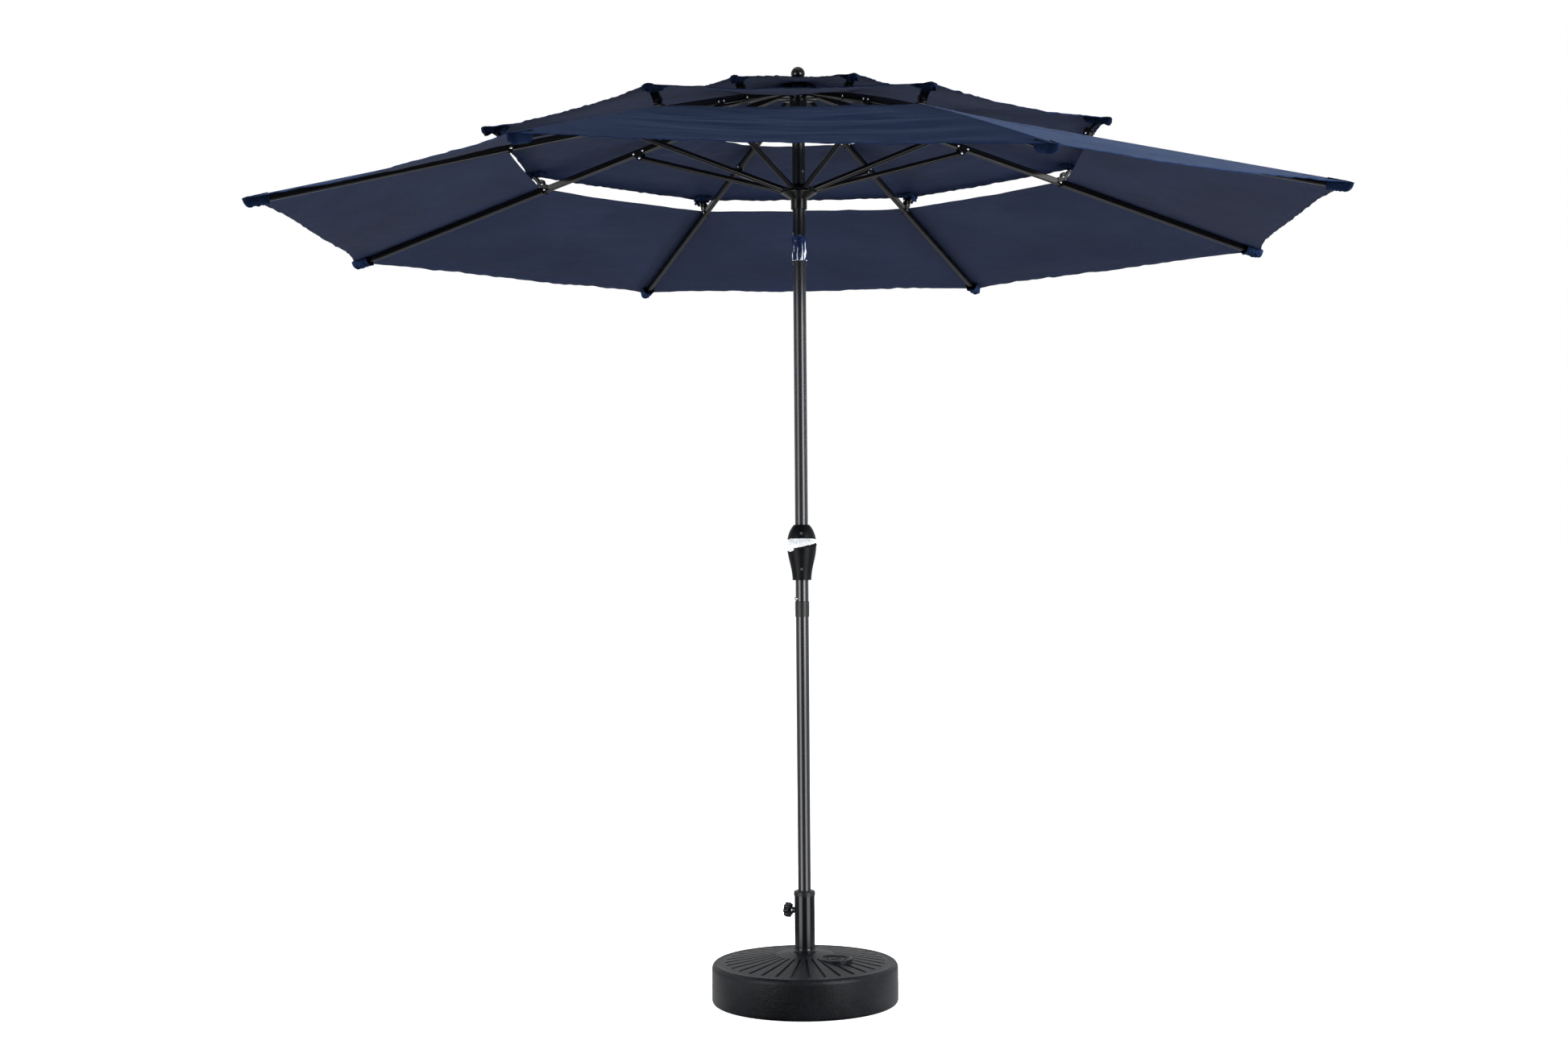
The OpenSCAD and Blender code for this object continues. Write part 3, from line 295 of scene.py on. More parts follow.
# %% [markdown]
# ## Finishes of the rigid parts
#
# Most parts are black, but no two blacks are alike. Powder coat on steel is
# satin, with a fine orange peel. Injection-moulded nylon comes out of a polished
# mould and gleams. The base tank is blow-moulded polyethylene with an eroded
# texture, so its light is broken into fine specks. One function makes a finish:
# a base colour with slow variation, and a grain whose size is in millimetres.


# %% A function for moulded and coated finishes
def finish(name, colour, roughness, grain_mm, grain_depth_mm, speck=0.12, **sockets):
    """A surface with a fine grain. speck is how far its colour varies, as a share; the tank's light
    specks are painted glints.
    """
    material = bpy.data.materials.new(name)
    material.use_nodes = True
    tree = material.node_tree
    shader = tree.nodes["Principled BSDF"]
    for key, value in sockets.items():
        shader.inputs[key.replace("_", " ")].default_value = value
    place = add_node(tree, "ShaderNodeTexCoord")
    grain = add_node(
        tree, "ShaderNodeTexNoise",
        {"Vector": place.outputs["Object"], "Scale": 1000 / grain_mm, "Detail": 3.0},
    )
    cloud = add_node(
        tree, "ShaderNodeTexNoise", {"Vector": place.outputs["Object"], "Scale": 9.0, "Detail": 4.0}
    )
    mixed = add_node(
        tree, "ShaderNodeMath", {0: grain.outputs[0], 1: cloud.outputs[0]}, operation="ADD"
    )
    dark = [c * (1 - speck) for c in linear(colour)[:3]] + [1]
    light = [c * (1 + speck * 2.2) for c in linear(colour)[:3]] + [1]
    specks = add_node(
        tree, "ShaderNodeMapRange",
        {"Value": mixed.outputs[0], 1: 0.7, 2: 1.35, 3: 0.0, 4: 1.0},
    )
    tint = add_node(
        tree, "ShaderNodeMix",
        {0: specks.outputs[0], 6: dark, 7: light}, data_type="RGBA",
    )
    rough = add_node(
        tree, "ShaderNodeMapRange",
        {"Value": cloud.outputs[0], 1: 0.3, 2: 0.7, 3: roughness * 0.94, 4: roughness * 1.06},
    )
    bump = add_node(
        tree, "ShaderNodeBump",
        {"Height": grain.outputs[0], "Strength": 1.0, "Distance": grain_depth_mm / 1000},
    )
    tree.links.new(tint.outputs[2], shader.inputs["Base Color"])
    tree.links.new(rough.outputs[0], shader.inputs["Roughness"])
    tree.links.new(bump.outputs[0], shader.inputs["Normal"])
    return material


def coat(material, *names):
    """Gives CAD nodes a material. A name that ends in _ stands for all eight."""
    for name in names:
        for node in [f"{name}{k}" for k in range(1, 9)] if name.endswith("_") else [name]:
            mesh = frame["nodes"][node].data
            mesh.materials.clear()
            mesh.materials.append(material)


print("a finish takes a colour, a roughness and a grain in millimetres")

# %% Plastics
# Blow-moulded polyethylene from an eroded mould, matt black, with painted glints as light specks.
tank_plastic = finish(
    "blow_moulded_polyethylene", "#0e1013", 0.36, 5.0, 0.8, 0.5, Specular_IOR_Level=0.28
)
coat(tank_plastic, "base_tank")
# Injection-moulded polypropylene, lightly textured.
coat(finish("moulded_polypropylene", "#17181a", 0.38, 1.2, 0.03), "stem_collar", "stem_bush",
     "filler_cap", "joint_collar", "pole_foot")
# Glass-filled nylon from a polished mould: deep black with sharp highlights.
black_nylon = finish("polished_black_nylon", "#08090a", 0.14, 1.0, 0.004)
coat(black_nylon, "top_hub", "runner", "finial")
bracket_nylon = finish(
    "moulded_bracket_nylon", "#060607", 0.2, 1.0, 0.01, Specular_IOR_Level=0.25
)
coat(bracket_nylon, "rib_fittings_")
# ABS shells of the crank housing, with a satin texture.
coat(finish("satin_abs", "#0b0c0e", 0.38, 0.8, 0.008, Specular_IOR_Level=0.13),
     "housing_front", "housing_back", "crank_arm")
coat(finish("knob_phenolic", "#0e0f10", 0.36, 1.5, 0.04),
     "clamp_knob", "crank_grip", "tilt_button")
coat(finish("cast_nylon_natural", "#d6d5cd", 0.45, 1.0, 0.02), "pulley")
print("plastics on", len([m for m in bpy.data.materials if m.users]), "materials")

# %% Metals
# Powder coat over steel tube: charcoal, satin, with the faint dimple of the bake.
mast_coat = finish("charcoal_powder_coat", "#1e1f22", 0.17, 2.4, 0.002, 0.04,
                   Specular_IOR_Level=0.85)
coat(mast_coat, "lower_pole", "middle_pole")
# The upper tube stands in the shade of the cloth, so its coat is drawn darker.
coat(finish("shaded_powder_coat", "#101113", 0.17, 2.4, 0.002, 0.04), "upper_pole")
coat(finish("black_powder_coat", "#0f1013", 0.13, 2.0, 0.002, 0.04), "stem_tube")
rib_coat = finish("rib_powder_coat", "#050506", 0.13, 2.0, 0.004, Specular_IOR_Level=0.32)
coat(rib_coat, "rib_", "strut_")
coat(finish("joint_powder_coat", "#2a2d33", 0.3, 2.0, 0.03), "tilt_fork", "tilt_tongue")
# Zinc-plated fasteners and the bare tube inside the mast's joint.
bright_steel = finish("zinc_plated_steel", "#c9ccd0", 0.24, 0.6, 0.01, 0.05, Metallic=1.0)
coat(bright_steel, "clamp_bolt", "mast_rivets", "snap_button", "tilt_pin",
     "upper_rivets", "hub_pins", "runner_pins", "housing_screws")
coat(finish("turned_steel", "#a7abb0", 0.32, 0.5, 0.02, 0.06, Metallic=1.0), "crank_axle")
coat(finish("drawn_aluminium", "#b4b8bc", 0.36, 0.6, 0.02, 0.06, Metallic=1.0), "joint_insert")
# Dry sand, of half a millimetre a grain, drawn at two millimetres so that it shows.
coat(finish("dry_sand", "#b9a27c", 0.9, 2.0, 0.6, 0.25), "sand_ballast")
bare = [n for n, o in frame["nodes"].items() if not o.data.materials]
print("nodes without a finish:", bare)

# %% [markdown]
# ## The cloth
#
# The canopy is solution-dyed polyester: a saturated navy outside, and greyer
# inside, where a thin coating makes it shower-proof. Two materials therefore
# share one weave. The weave follows the cloth and not the room, so it reads the
# piece's own UV map, which is laid out in metres. A second map holds distances
# from the seam and from the hem, and the stitches are drawn along them.


# %% The canopy's cloth
def polyester(name, colour, roughness, specular, sheen):
    """Woven cloth: crossed threads, stitches, a soft sheen at grazing angles."""
    material = bpy.data.materials.new(name)
    material.use_nodes = True
    tree = material.node_tree
    shader = tree.nodes["Principled BSDF"]
    shader.inputs["Roughness"].default_value = roughness
    shader.inputs["Specular IOR Level"].default_value = specular
    shader.inputs["Sheen Weight"].default_value = sheen
    shader.inputs["Sheen Roughness"].default_value = 0.35
    shader.inputs["Sheen Tint"].default_value = linear("#9fb2d6")
    cloth = add_node(tree, "ShaderNodeUVMap", uv_map="cloth")
    edges = add_node(tree, "ShaderNodeUVMap", uv_map="edges")
    # Threads lie 0.5 mm apart; they are drawn at 2.5 mm, or they would not show.
    thread = 0.0025
    band = 2 * math.pi / 20 / thread
    warp = add_node(
        tree, "ShaderNodeTexWave", {"Vector": cloth.outputs[0], "Scale": band, "Distortion": 0.6},
        bands_direction="X",
    )
    weft = add_node(
        tree, "ShaderNodeTexWave", {"Vector": cloth.outputs[0], "Scale": band, "Distortion": 0.6},
        bands_direction="Y",
    )
    weave = add_node(
        tree, "ShaderNodeMath", {0: warp.outputs["Fac"], 1: weft.outputs["Fac"]},
        operation="MULTIPLY",
    )
    slub = add_node(
        tree, "ShaderNodeTexNoise", {"Vector": cloth.outputs[0], "Scale": 260.0, "Detail": 2.0}
    )
    cloud = add_node(
        tree, "ShaderNodeTexNoise", {"Vector": cloth.outputs[0], "Scale": 3.0, "Detail": 4.0}
    )
    # Stitches: a row on either side of the seam over the rib, one along each hem.
    away = add_node(tree, "ShaderNodeSeparateXYZ", {0: edges.outputs[0]})
    along = add_node(tree, "ShaderNodeSeparateXYZ", {0: cloth.outputs[0]})
    seam_row, hem_row = 0.006, 0.021
    half_thick, half_beat, half_dash = 0.0007, 0.0045, 0.0032
    rows = []
    for far, run, offset in (("X", "Y", seam_row), ("Y", "X", hem_row)):
        line = add_node(
            tree, "ShaderNodeMath", {0: away.outputs[far], 1: offset, 2: half_thick},
            operation="COMPARE",
        )
        beat = add_node(
            tree, "ShaderNodeMath", {0: along.outputs[run], 1: half_beat},
            operation="PINGPONG",
        )
        dash = add_node(
            tree, "ShaderNodeMath", {0: beat.outputs[0], 1: half_dash},
            operation="LESS_THAN",
        )
        rows.append(
            add_node(
                tree, "ShaderNodeMath", {0: line.outputs[0], 1: dash.outputs[0]},
                operation="MULTIPLY",
            )
        )
    stitch = add_node(
        tree, "ShaderNodeMath", {0: rows[0].outputs[0], 1: rows[1].outputs[0]},
        operation="MAXIMUM",
    )
    worn, pale, yarn = (
        [c * share for c in linear(colour)[:3]] + [1] for share in (0.9, 1.25, 1.9)
    )
    shade = add_node(
        tree, "ShaderNodeMapRange", {"Value": cloud.outputs[0], 1: 0.3, 2: 0.7, 3: 0.0, 4: 1.0}
    )
    dyed = add_node(
        tree, "ShaderNodeMix",
        {0: shade.outputs[0], 6: worn, 7: pale}, data_type="RGBA",
    )
    sewn = add_node(
        tree, "ShaderNodeMix",
        {0: stitch.outputs[0], 6: dyed.outputs[2], 7: yarn}, data_type="RGBA",
    )
    relief = add_node(
        tree, "ShaderNodeMath", {0: weave.outputs[0], 1: slub.outputs[0]}, operation="ADD"
    )
    raised = add_node(
        tree, "ShaderNodeMath", {0: relief.outputs[0], 1: stitch.outputs[0]}, operation="ADD"
    )
    bump = add_node(
        tree, "ShaderNodeBump",
        {"Height": raised.outputs[0], "Strength": 0.5, "Distance": 0.0003},
    )
    tree.links.new(sewn.outputs[2], shader.inputs["Base Color"])
    tree.links.new(bump.outputs[0], shader.inputs["Normal"])
    return material


cloth_face = polyester("polyester_dyed_face", "#152340", 0.8, 0.0, 0.09)
cloth_back = polyester("polyester_coated_back", "#182036", 0.62, 0.12, 0.0)
# The pockets are cut from the same cloth, doubled and crumpled. Their copy of it
# is darker, as painted shade for their folds.
pocket_cloth_painted_shade = polyester("polyester_pocket_painted_shade", "#0d1629", 0.8, 0.0, 0.05)
print("cloth:", cloth_face.name, cloth_back.name, pocket_cloth_painted_shade.name)

# %% [markdown]
# ## The shape of a tier
#
# Each tier is an eight-sided tent. Its panels hang between the ribs with a
# slight sag, and their hems are cut in between the corners, so that the pull of
# the corners keeps them from flapping. The frame gives the hinges of the ribs;
# the rest of the geometry follows from the slope of the ribs.

# %% Sizes of the three tiers
hinges = {j["child"]: Vector(j["pos_m"]) for j in frame["joints"] if j.get("pos_m")}
hub_z = hinges["rib_1"].z
hinge_r = hinges["rib_1"].xy.length
rib_slope = math.radians(14.7)
rib_lift, rib_w, rib_h = 0.0035, 0.013, 0.018
rib_count = 8
half_step = math.pi / rib_count
under_cloth = rib_h / 2 / math.cos(rib_slope) + 0.0015
cloth_t = 0.0012
canopy_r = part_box("canopy_lower")[1].x / math.cos(half_step)


def rib_azimuth(k):
    """Bearing of rib k from the X axis: 22.5 degrees for the first, then 45 apart."""
    return (2 * k - 1) * half_step


def rib_line(r):
    """Height of a rib's centre line at a distance from the mast's axis."""
    return hub_z + rib_lift / math.cos(rib_slope) - (r - hinge_r) * math.tan(rib_slope)


def corner(r, over_rib=under_cloth):
    """A tier's corner: its radius, and its height so far over the rib's centre."""
    return r, rib_line(r) + over_rib


# Inner and outer corners of a tier. Then how far its hem is cut in, its sag, the
# columns and rows in half a gore, and whether its inner edge has a hem too.
tiers = {
    "lower": dict(
        inner=corner(0.820), outer=corner(canopy_r),
        scallop=0.038, sag=0.014, columns=64, rows=72, hemmed=True,
    ),
    "middle": dict(
        inner=corner(0.369), outer=corner(0.871, over_rib=0.066),
        scallop=0.022, sag=0.010, columns=44, rows=56, hemmed=True,
    ),
    "top": dict(
        inner=(0.012, hub_z + 0.0315), outer=corner(0.401, over_rib=0.057),
        scallop=0.012, sag=0.004, columns=30, rows=44, hemmed=False,
    ),
}
for name, tier in tiers.items():
    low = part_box(f"canopy_{name}")[0]
    print(name, "hem at", round(low.z, 4), "and", round(tier["outer"][1] - tier["sag"], 4))

# %% [markdown]
# ## Ribs sprung by the cloth
#
# A rib is a slender steel tube, pinned at the hub and at its strut. Its outer
# two thirds stand free, and the cloth pulls them down like a bow. Most ribs of
# this umbrella are straight, but the two in front are sprung, one of them by
# two finger widths, so the front panel hangs lower on that side. A beam that is
# held at one end bends along a known curve, and everything that is fixed to the
# rib follows the same curve.

# %% How far a rib is sprung
strut_at = 0.4678
spring_r = hinge_r + strut_at * math.cos(rib_slope)
tip_droop = {6: 0.013, 7: 0.052}


def droop(k, r):
    """How far rib k has gone down at a distance r from the mast's axis."""
    share = max(0.0, (r - spring_r) / (canopy_r - spring_r))
    return tip_droop.get((k - 1) % rib_count + 1, 0.0) * share * share * (3 - share) / 2


def spring_down(bm, k):
    """Bends what is fixed to rib k, and is already in its place, with the rib."""
    if k in tip_droop:
        outward = Vector((math.cos(rib_azimuth(k)), math.sin(rib_azimuth(k)), 0))
        for v in bm.verts:
            v.co.z -= droop(k, v.co.dot(outward))


middle_r = tiers["middle"]["outer"][0]
print("rib 7 at the middle tier:", round(droop(7, middle_r) * 1000, 1), "mm down")

# %% [markdown]
# ## Wrinkles
#
# Taut cloth still shows how it was packed and sewn: long soft waves round the
# canopy, puckers along the hems, folds that run from the corners into the
# panel, and a few straight creases where it lay folded in its box. All of them
# are worked out from the place on the canopy alone, so that neighbouring pieces
# agree where they meet.


# %% How far the cloth lies off its smooth shape
wave_height, ripple_height, pucker_height = 0.0042, 0.0019, 0.0030
crumple_height, pull_height, crease_height = 0.0026, 0.0022, 0.0019


def wrinkle(x, y, from_rib, from_hem, reach, seed):
    """Height in metres. reach is 0 on a rib and 1 in the middle of a panel."""
    r = math.hypot(x, y)
    east, north = x / r, y / r
    taut = min(1.0, reach * 3.2)
    waves = noise.noise(Vector((east * 3.1, north * 3.1, r * 11 + seed)))
    ripples = noise.noise(Vector((east * 9 + seed, north * 9, r * 26)))
    puckers = noise.noise(Vector((east * 44, north * 44, seed))) * math.exp(-from_hem / 0.028)
    from_corner = math.hypot(from_rib, from_hem)
    bearing = math.atan2(from_hem + 0.004, from_rib + 0.004)
    pull = math.exp(-from_corner / 0.13) * math.sin(5.5 * bearing)
    crumple = 1 - abs(noise.noise(Vector((x * 5.2 + seed, y * 5.2, seed)))) * 9
    crumple = max(0.0, crumple) * max(0.0, noise.noise(Vector((x * 2.1, y * 2.1, seed + 4))))
    return taut * (
        wave_height * waves + ripple_height * ripples + pucker_height * puckers
        + crumple_height * crumple + pull_height * pull * min(1.0, from_corner / 0.03)
    )


def creases(inward, panel):
    """Sharp packing creases, which run across a panel at some distances inward."""
    height = 0.0
    for n in (0, 1):
        at = 0.52 + 0.41 * n + 0.17 * math.sin(7.3 * panel + 2.1 * n)
        height += (-1) ** n * crease_height * math.exp(-abs(inward - at) / 0.007)
    return height


print("a wave is", round(wave_height * 1000, 1), "mm high at most")

# %% [markdown]
# ## Gores that can fold
# ## Gores on the ribs
# When the umbrella closes, each rib takes its share of the cloth with it. A
# tier is therefore made as eight gores, one on each rib, that meet in the middle
# of the panels and look like one sheet. A gore starts as a flat grid from bmesh,
# and its points are moved to their places: rows run from the inner edge to the
# hem, and columns run across the rib. Rows and columns crowd together at the
# hems and at the seam, where the cloth is folded double.


# %% Moving a grid onto the canopy
seam_steps = (0.0, 0.004, 0.008, 0.0088)
hem_steps = (0.0, 0.003, 0.024, 0.0252)


def across(column, columns, half_width):
    """Distance of a column from the rib. The first ones draw the seam's edge."""
    steps = seam_steps
    if column < len(steps):
        return min(steps[column], half_width * column / columns)
    first = min(steps[-1], half_width * (len(steps) - 1) / columns)
    share = (column - len(steps) + 1) / (columns - len(steps) + 1)
    return first + (half_width - first) * share


def down_share(row, tier):
    """Share of the way from the inner edge to the hem. The hems are 25 mm wide."""
    length = math.dist(tier["inner"], tier["outer"])
    hem = [s / length for s in hem_steps]
    inside = hem if tier["hemmed"] else [0.0]
    rows = tier["rows"]
    if row < len(inside):
        return inside[row]
    if row > rows - len(hem):
        return 1 - hem[rows - row]
    first, last = inside[-1], 1 - hem[-1]
    return first + (last - first) * (row - len(inside) + 1) / (
        rows - len(hem) - len(inside) + 2
    )


def canopy_point(tier, k, side, row, column):
    """Where a point lies, with its cloth and edge coordinates."""
    k = (k - 1) % rib_count + 1
    (r_in, z_in), (r_out, z_out) = tier["inner"], tier["outer"]
    down = down_share(row, tier)
    half_width = (r_in + (r_out - r_in) * down) * math.sin(half_step)
    d = across(column, tier["columns"], half_width)
    reach = d / half_width
    u = 1 - reach
    hem_r = r_out - tier["scallop"] * (1 - u**4)
    r = r_in + (hem_r - r_in) * down
    z = z_in + (z_out - z_in) * (r - r_in) / (r_out - r_in)
    z -= tier["sag"] * (1 - u * u) * (0.25 + 0.75 * math.sin(math.pi / 2 * down))
    here, there = rib_azimuth(k), rib_azimuth(k + side)
    x = r * ((1 + u) * math.cos(here) + (1 - u) * math.cos(there)) / 2
    y = r * ((1 + u) * math.sin(here) + (1 - u) * math.sin(there)) / 2
    z -= ((1 + u) * droop(k, r) + (1 - u) * droop(k + side, r)) / 2
    length = math.dist(tier["inner"], tier["outer"])
    from_hem = (1 - down) * length
    from_edge = min(from_hem, down * length) if tier["hemmed"] else from_hem
    middle = (here + there) / 2
    inward = x * math.cos(middle) + y * math.sin(middle)
    panel = k if side > 0 else (k - 2) % rib_count + 1
    z += wrinkle(x, y, d, from_hem, reach, r_out * 10)
    z += creases(inward, panel + r_out * 3) * min(1.0, reach * 6)
    return Vector((x, y, z + cloth_t / 2)), (side * d, down * length), (d, from_edge)


print("hem rows at", [round(down_share(r, tiers["lower"]), 4) for r in (0, 1, 2, 3)])


def gore_grid(tier, k):
    """The gore's points by column and row, one column past both of its sides."""
    columns = tier["columns"]
    grid = {}
    for row in range(tier["rows"] + 1):
        for i in range(-columns, columns + 1):
            grid[i, row] = canopy_point(tier, k, 1 if i >= 0 else -1, row, abs(i))
        for side in (-1, 1):
            past = canopy_point(tier, k + side, -side, row, columns - 1)
            grid[side * (columns + 1), row] = past
    return grid


def cloth_normal(grid, i, row, rows):
    """Square to the cloth, from the points round it, so that gores agree."""
    east, west = grid[i + 1, row][0], grid[i - 1, row][0]
    up, low = grid[i, max(0, row - 1)][0], grid[i, min(rows, row + 1)][0]
    return (east - west).cross(up - low).normalized()


def cloth_grid(x_segments, y_segments):
    """A flat grid with the two UV maps that the weave and the stitches read."""
    bm = bmesh.new()
    bmesh.ops.create_grid(bm, x_segments=x_segments, y_segments=y_segments, size=1)
    return bm, bm.loops.layers.uv.new("cloth"), bm.loops.layers.uv.new("edges")


single_half, double_half = 0.0004, 0.0009
seam_reach, hem_reach = 0.0085, 0.0245


def gore(name, tier, k):
    """One gore: two sheets of cloth, thicker where it is sewn double, and a rim."""
    columns, rows = tier["columns"], tier["rows"]
    grid = gore_grid(tier, k)
    bm, cloth_uv, edge_uv = cloth_grid(2 * columns, rows)
    index = {
        v: (round((v.co.x + 1) * columns) - columns, round((v.co.y + 1) / 2 * rows))
        for v in bm.verts
    }
    over, border = list(bm.faces), [e for e in bm.edges if e.is_boundary]
    # A second sheet under the first, and a narrow rim that joins their borders.
    twin = bmesh.ops.duplicate(bm, geom=bm.verts[:] + bm.edges[:] + bm.faces[:])["vert_map"]
    normals = {}
    for v, (i, row) in list(index.items()):
        point, _, (from_rib, from_edge) = grid[i, row]
        out = cloth_normal(grid, i, row, rows)
        double = from_rib < seam_reach or from_edge < hem_reach
        half = double_half if double else single_half
        v.co, twin[v].co = point + out * half, point - out * half
        normals[v], normals[twin[v]] = out, -out
        index[twin[v]] = index[v]
    bm.normal_update()
    tops = set(over)
    under = [f for f in bm.faces if f not in tops]
    bmesh.ops.reverse_faces(bm, faces=under if over[0].normal.z > 0 else over)
    for face in under:
        face.material_index = 1
    rim = set()
    for edge in border:
        a, b = edge.link_loops[0].vert, edge.link_loops[0].link_loop_next.vert
        rim.add(bm.faces.new((b, a, twin[a], twin[b])))
    bm.normal_update()
    shading = []
    for face in bm.faces:
        face.smooth = True
        for loop in face.loops:
            _, loop[cloth_uv].uv, loop[edge_uv].uv = grid[index[loop.vert]]
            shading.append(face.normal.copy() if face in rim else normals[loop.vert])
    piece = as_object(bm, name, cloth_face, cloth_back)
    piece.data.normals_split_custom_set(shading)
    return piece


gores = {}
for tier_name, tier in tiers.items():
    for k in range(1, rib_count + 1):
        piece = gore(f"canopy_{tier_name}_{k}", tier, k)
        gores[tier_name, k] = piece
        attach(piece, f"rib_{k}")
        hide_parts(f"canopy_{tier_name}")
print(len(gores), "gores of", len(gores["lower", 1].data.vertices), "points in the lower tier")

# %% [markdown]
# ## Corner pockets
#
# Nothing is glued: the cloth hangs on the ribs by small pockets. At the rim a
# pocket is sewn under each corner, and the end of the rib sits in it. It is a
# half tube, open towards the mast and closed round the tip. The middle and top
# tiers have flatter pockets that slip over the leaf-shaped arms.


# %% Rim pockets
def in_rib_frame(k):
    """From a rib's own frame (x down the rib, z over it) to the row frame."""
    return (
        Matrix.Rotation(rib_azimuth(k), 4, "Z")
        @ Matrix.Translation((hinge_r, 0, hub_z))
        @ Matrix.Rotation(rib_slope, 4, "Y")
    )


def put(bm, name, body, material):
    """Turns a finished bmesh into a piece that rides on a body."""
    for face in bm.faces:
        face.smooth = True
    piece = as_object(bm, name, material)
    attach(piece, body)
    return piece


pocket_t = 0.0011


def sew_pocket(bm, maps, flat, name, k, place, open_top=False):
    """Gives a pocket its UV maps, takes it to rib k and makes it as thick as cloth."""
    for face in bm.faces:
        for loop in face.loops:
            loop[maps[0]].uv, loop[maps[1]].uv = flat[loop.vert]
    bmesh.ops.remove_doubles(bm, verts=bm.verts, dist=2e-5)
    bmesh.ops.transform(bm, matrix=place, verts=bm.verts)
    spring_down(bm, k)
    bmesh.ops.recalc_face_normals(bm, faces=bm.faces)
    if open_top and sum(f.normal.z for f in bm.faces) > 0:
        bmesh.ops.reverse_faces(bm, faces=bm.faces)
    piece = put(bm, name, f"rib_{k}", pocket_cloth_painted_shade)
    shell = piece.modifiers.new("cloth", "SOLIDIFY")
    shell.thickness = pocket_t
    shell.offset = -1
    return piece


tip_x = (canopy_r - hinge_r) / math.cos(rib_slope)
pocket_length = 0.062
mouth_half, mouth_deep = 0.0195, 0.0275
half_taper, deep_taper = 0.0065, 0.0035


def rim_pocket(k):
    """A grid bent into a half tube under the rib's end."""
    bm, *maps = cloth_grid(28, 20)
    top = rib_lift + rib_h / 2 + 0.002
    flat = {}
    for v in bm.verts:
        s, t = (v.co.x + 1) / 2, v.co.y
        closing = max(0.0, (s - 0.72) / 0.28)
        rounding = math.sqrt(max(0.0, 1 - closing**2.2))
        half = (mouth_half - half_taper * s) * rounding
        deep = (mouth_deep - deep_taper * s) * rounding
        turn = t * math.pi / 2
        flat[v] = ((t * 0.03, s * pocket_length), (0.05, min(s * pocket_length, 0.05)))
        pucker = 0.0052 * abs(noise.noise(Vector((s * 6, t * 3.5, k * 3.7)))) - 0.0012
        v.co = Vector((
            tip_x - pocket_length + s * (pocket_length + 0.001),
            (half + pucker * rounding) * math.copysign(abs(math.sin(turn)) ** 0.8, t),
            top - (deep + pucker * rounding) * max(0.0, math.cos(turn)) ** 0.55,
        ))
    return sew_pocket(bm, maps, flat, f"rim_pocket_{k}", k, in_rib_frame(k), open_top=True)


rim_pockets = {k: rim_pocket(k) for k in range(1, rib_count + 1)}
print("rim pockets", len(rim_pockets), "of", len(rim_pockets[1].data.vertices), "points")


# %% Pockets on the arms
bag_sizes = {"middle": (0.070, 0.0195), "top": (0.052, 0.0150)}


def arm_pocket(tier_name, k):
    """A crumpled bag pulled over the arm's tip: a closed tube that ends in a toe."""
    tier = tiers[tier_name]
    length, wide = bag_sizes[tier_name]
    tip_r, tip_z = tier["outer"]
    fall = (tier["inner"][1] - tip_z) / (tip_r - tier["inner"][0])
    bm, *maps = cloth_grid(28, 36)
    flat = {}
    for v in bm.verts:
        s, turn = (v.co.x + 1) / 2, v.co.y * math.pi
        toe = math.sqrt(max(0.0, 1 - max(0.0, (s - 0.7) / 0.3) ** 2.4))
        half = wide * (1.25 - 0.35 * s) * toe
        over = 0.0060 * (2 * s - 0.9) * toe
        deep = 0.0200 * (0.55 + 0.45 * s) * toe
        up, aside = math.cos(turn), math.sin(turn)
        fold = noise.noise(Vector((s * 5, up * 2.2, aside * 2.2 + k * 3.1)))
        dent = noise.noise(Vector((s * 9, turn * 1.3, tip_r + k)))
        crush = 1 + 0.55 * fold - 0.5 * abs(dent)
        y = half * aside * crush
        z = over * up if up > 0 else deep * up * crush
        r = tip_r + 0.007 - (1 - s) * length
        ridge = abs(y) * math.tan(half_step) * math.tan(rib_slope)
        v.co = Vector((r, y, tip_z + (tip_r - r) * fall - ridge + z))
        flat[v] = ((turn * half, s * length), (0.05, 0.05))
    round_mast = Matrix.Rotation(rib_azimuth(k), 4, "Z")
    return sew_pocket(bm, maps, flat, f"{tier_name}_pocket_{k}", k, round_mast)


pockets = {("lower", k): p for k, p in rim_pockets.items()}
for tier_name in ("middle", "top"):
    for k in range(1, rib_count + 1):
        pockets[tier_name, k] = arm_pocket(tier_name, k)
print("pockets in all:", len(pockets))

# %% [markdown]
# ## A mesh for each gore
#
# A gore's cut is wider than it is long in the lower tier, and a triangle in the
# top one. Each gore gets a mesh of its own.

for (tier_name, k), piece in gores.items():
    tier = tiers[tier_name]
    turn = rib_azimuth(k)
    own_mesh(piece)

# %% [markdown]
# ## Rivets
#
# The brackets are riveted to the ribs with semi-tubular rivets of bright steel.
# Their heads are low domes. A dome is a sphere cut at its equator and pressed
# flat; two go on each rivet, one on either side.


# %% Rivet heads
def dome(bm, matrix, radius, height):
    """Adds a low dome whose flat side lies in the matrix's own XY plane."""
    made = bmesh.ops.create_uvsphere(bm, u_segments=16, v_segments=8, radius=1)["verts"]
    for v in made:
        v.co.z = max(v.co.z, -0.25)
    scale = Matrix.Diagonal((radius, radius, height, 1))
    bmesh.ops.transform(bm, matrix=matrix @ scale, verts=made)


rivet_r, pin_r, head_height = 0.0041, 0.0049, 0.0019
strut_pin_z = -0.013
cheek = 0.002
saddle = 0.0022
arm_reach = {"middle": 0.048, "top": 0.040}


def arm_tip(tier_name):
    """How far down the rib an arm ends. Its tip is 3 mm under the cloth."""
    r, z = tiers[tier_name]["outer"]
    z -= 0.003
    return (r - hinge_r) * math.cos(rib_slope) - (z - hub_z) * math.sin(rib_slope)


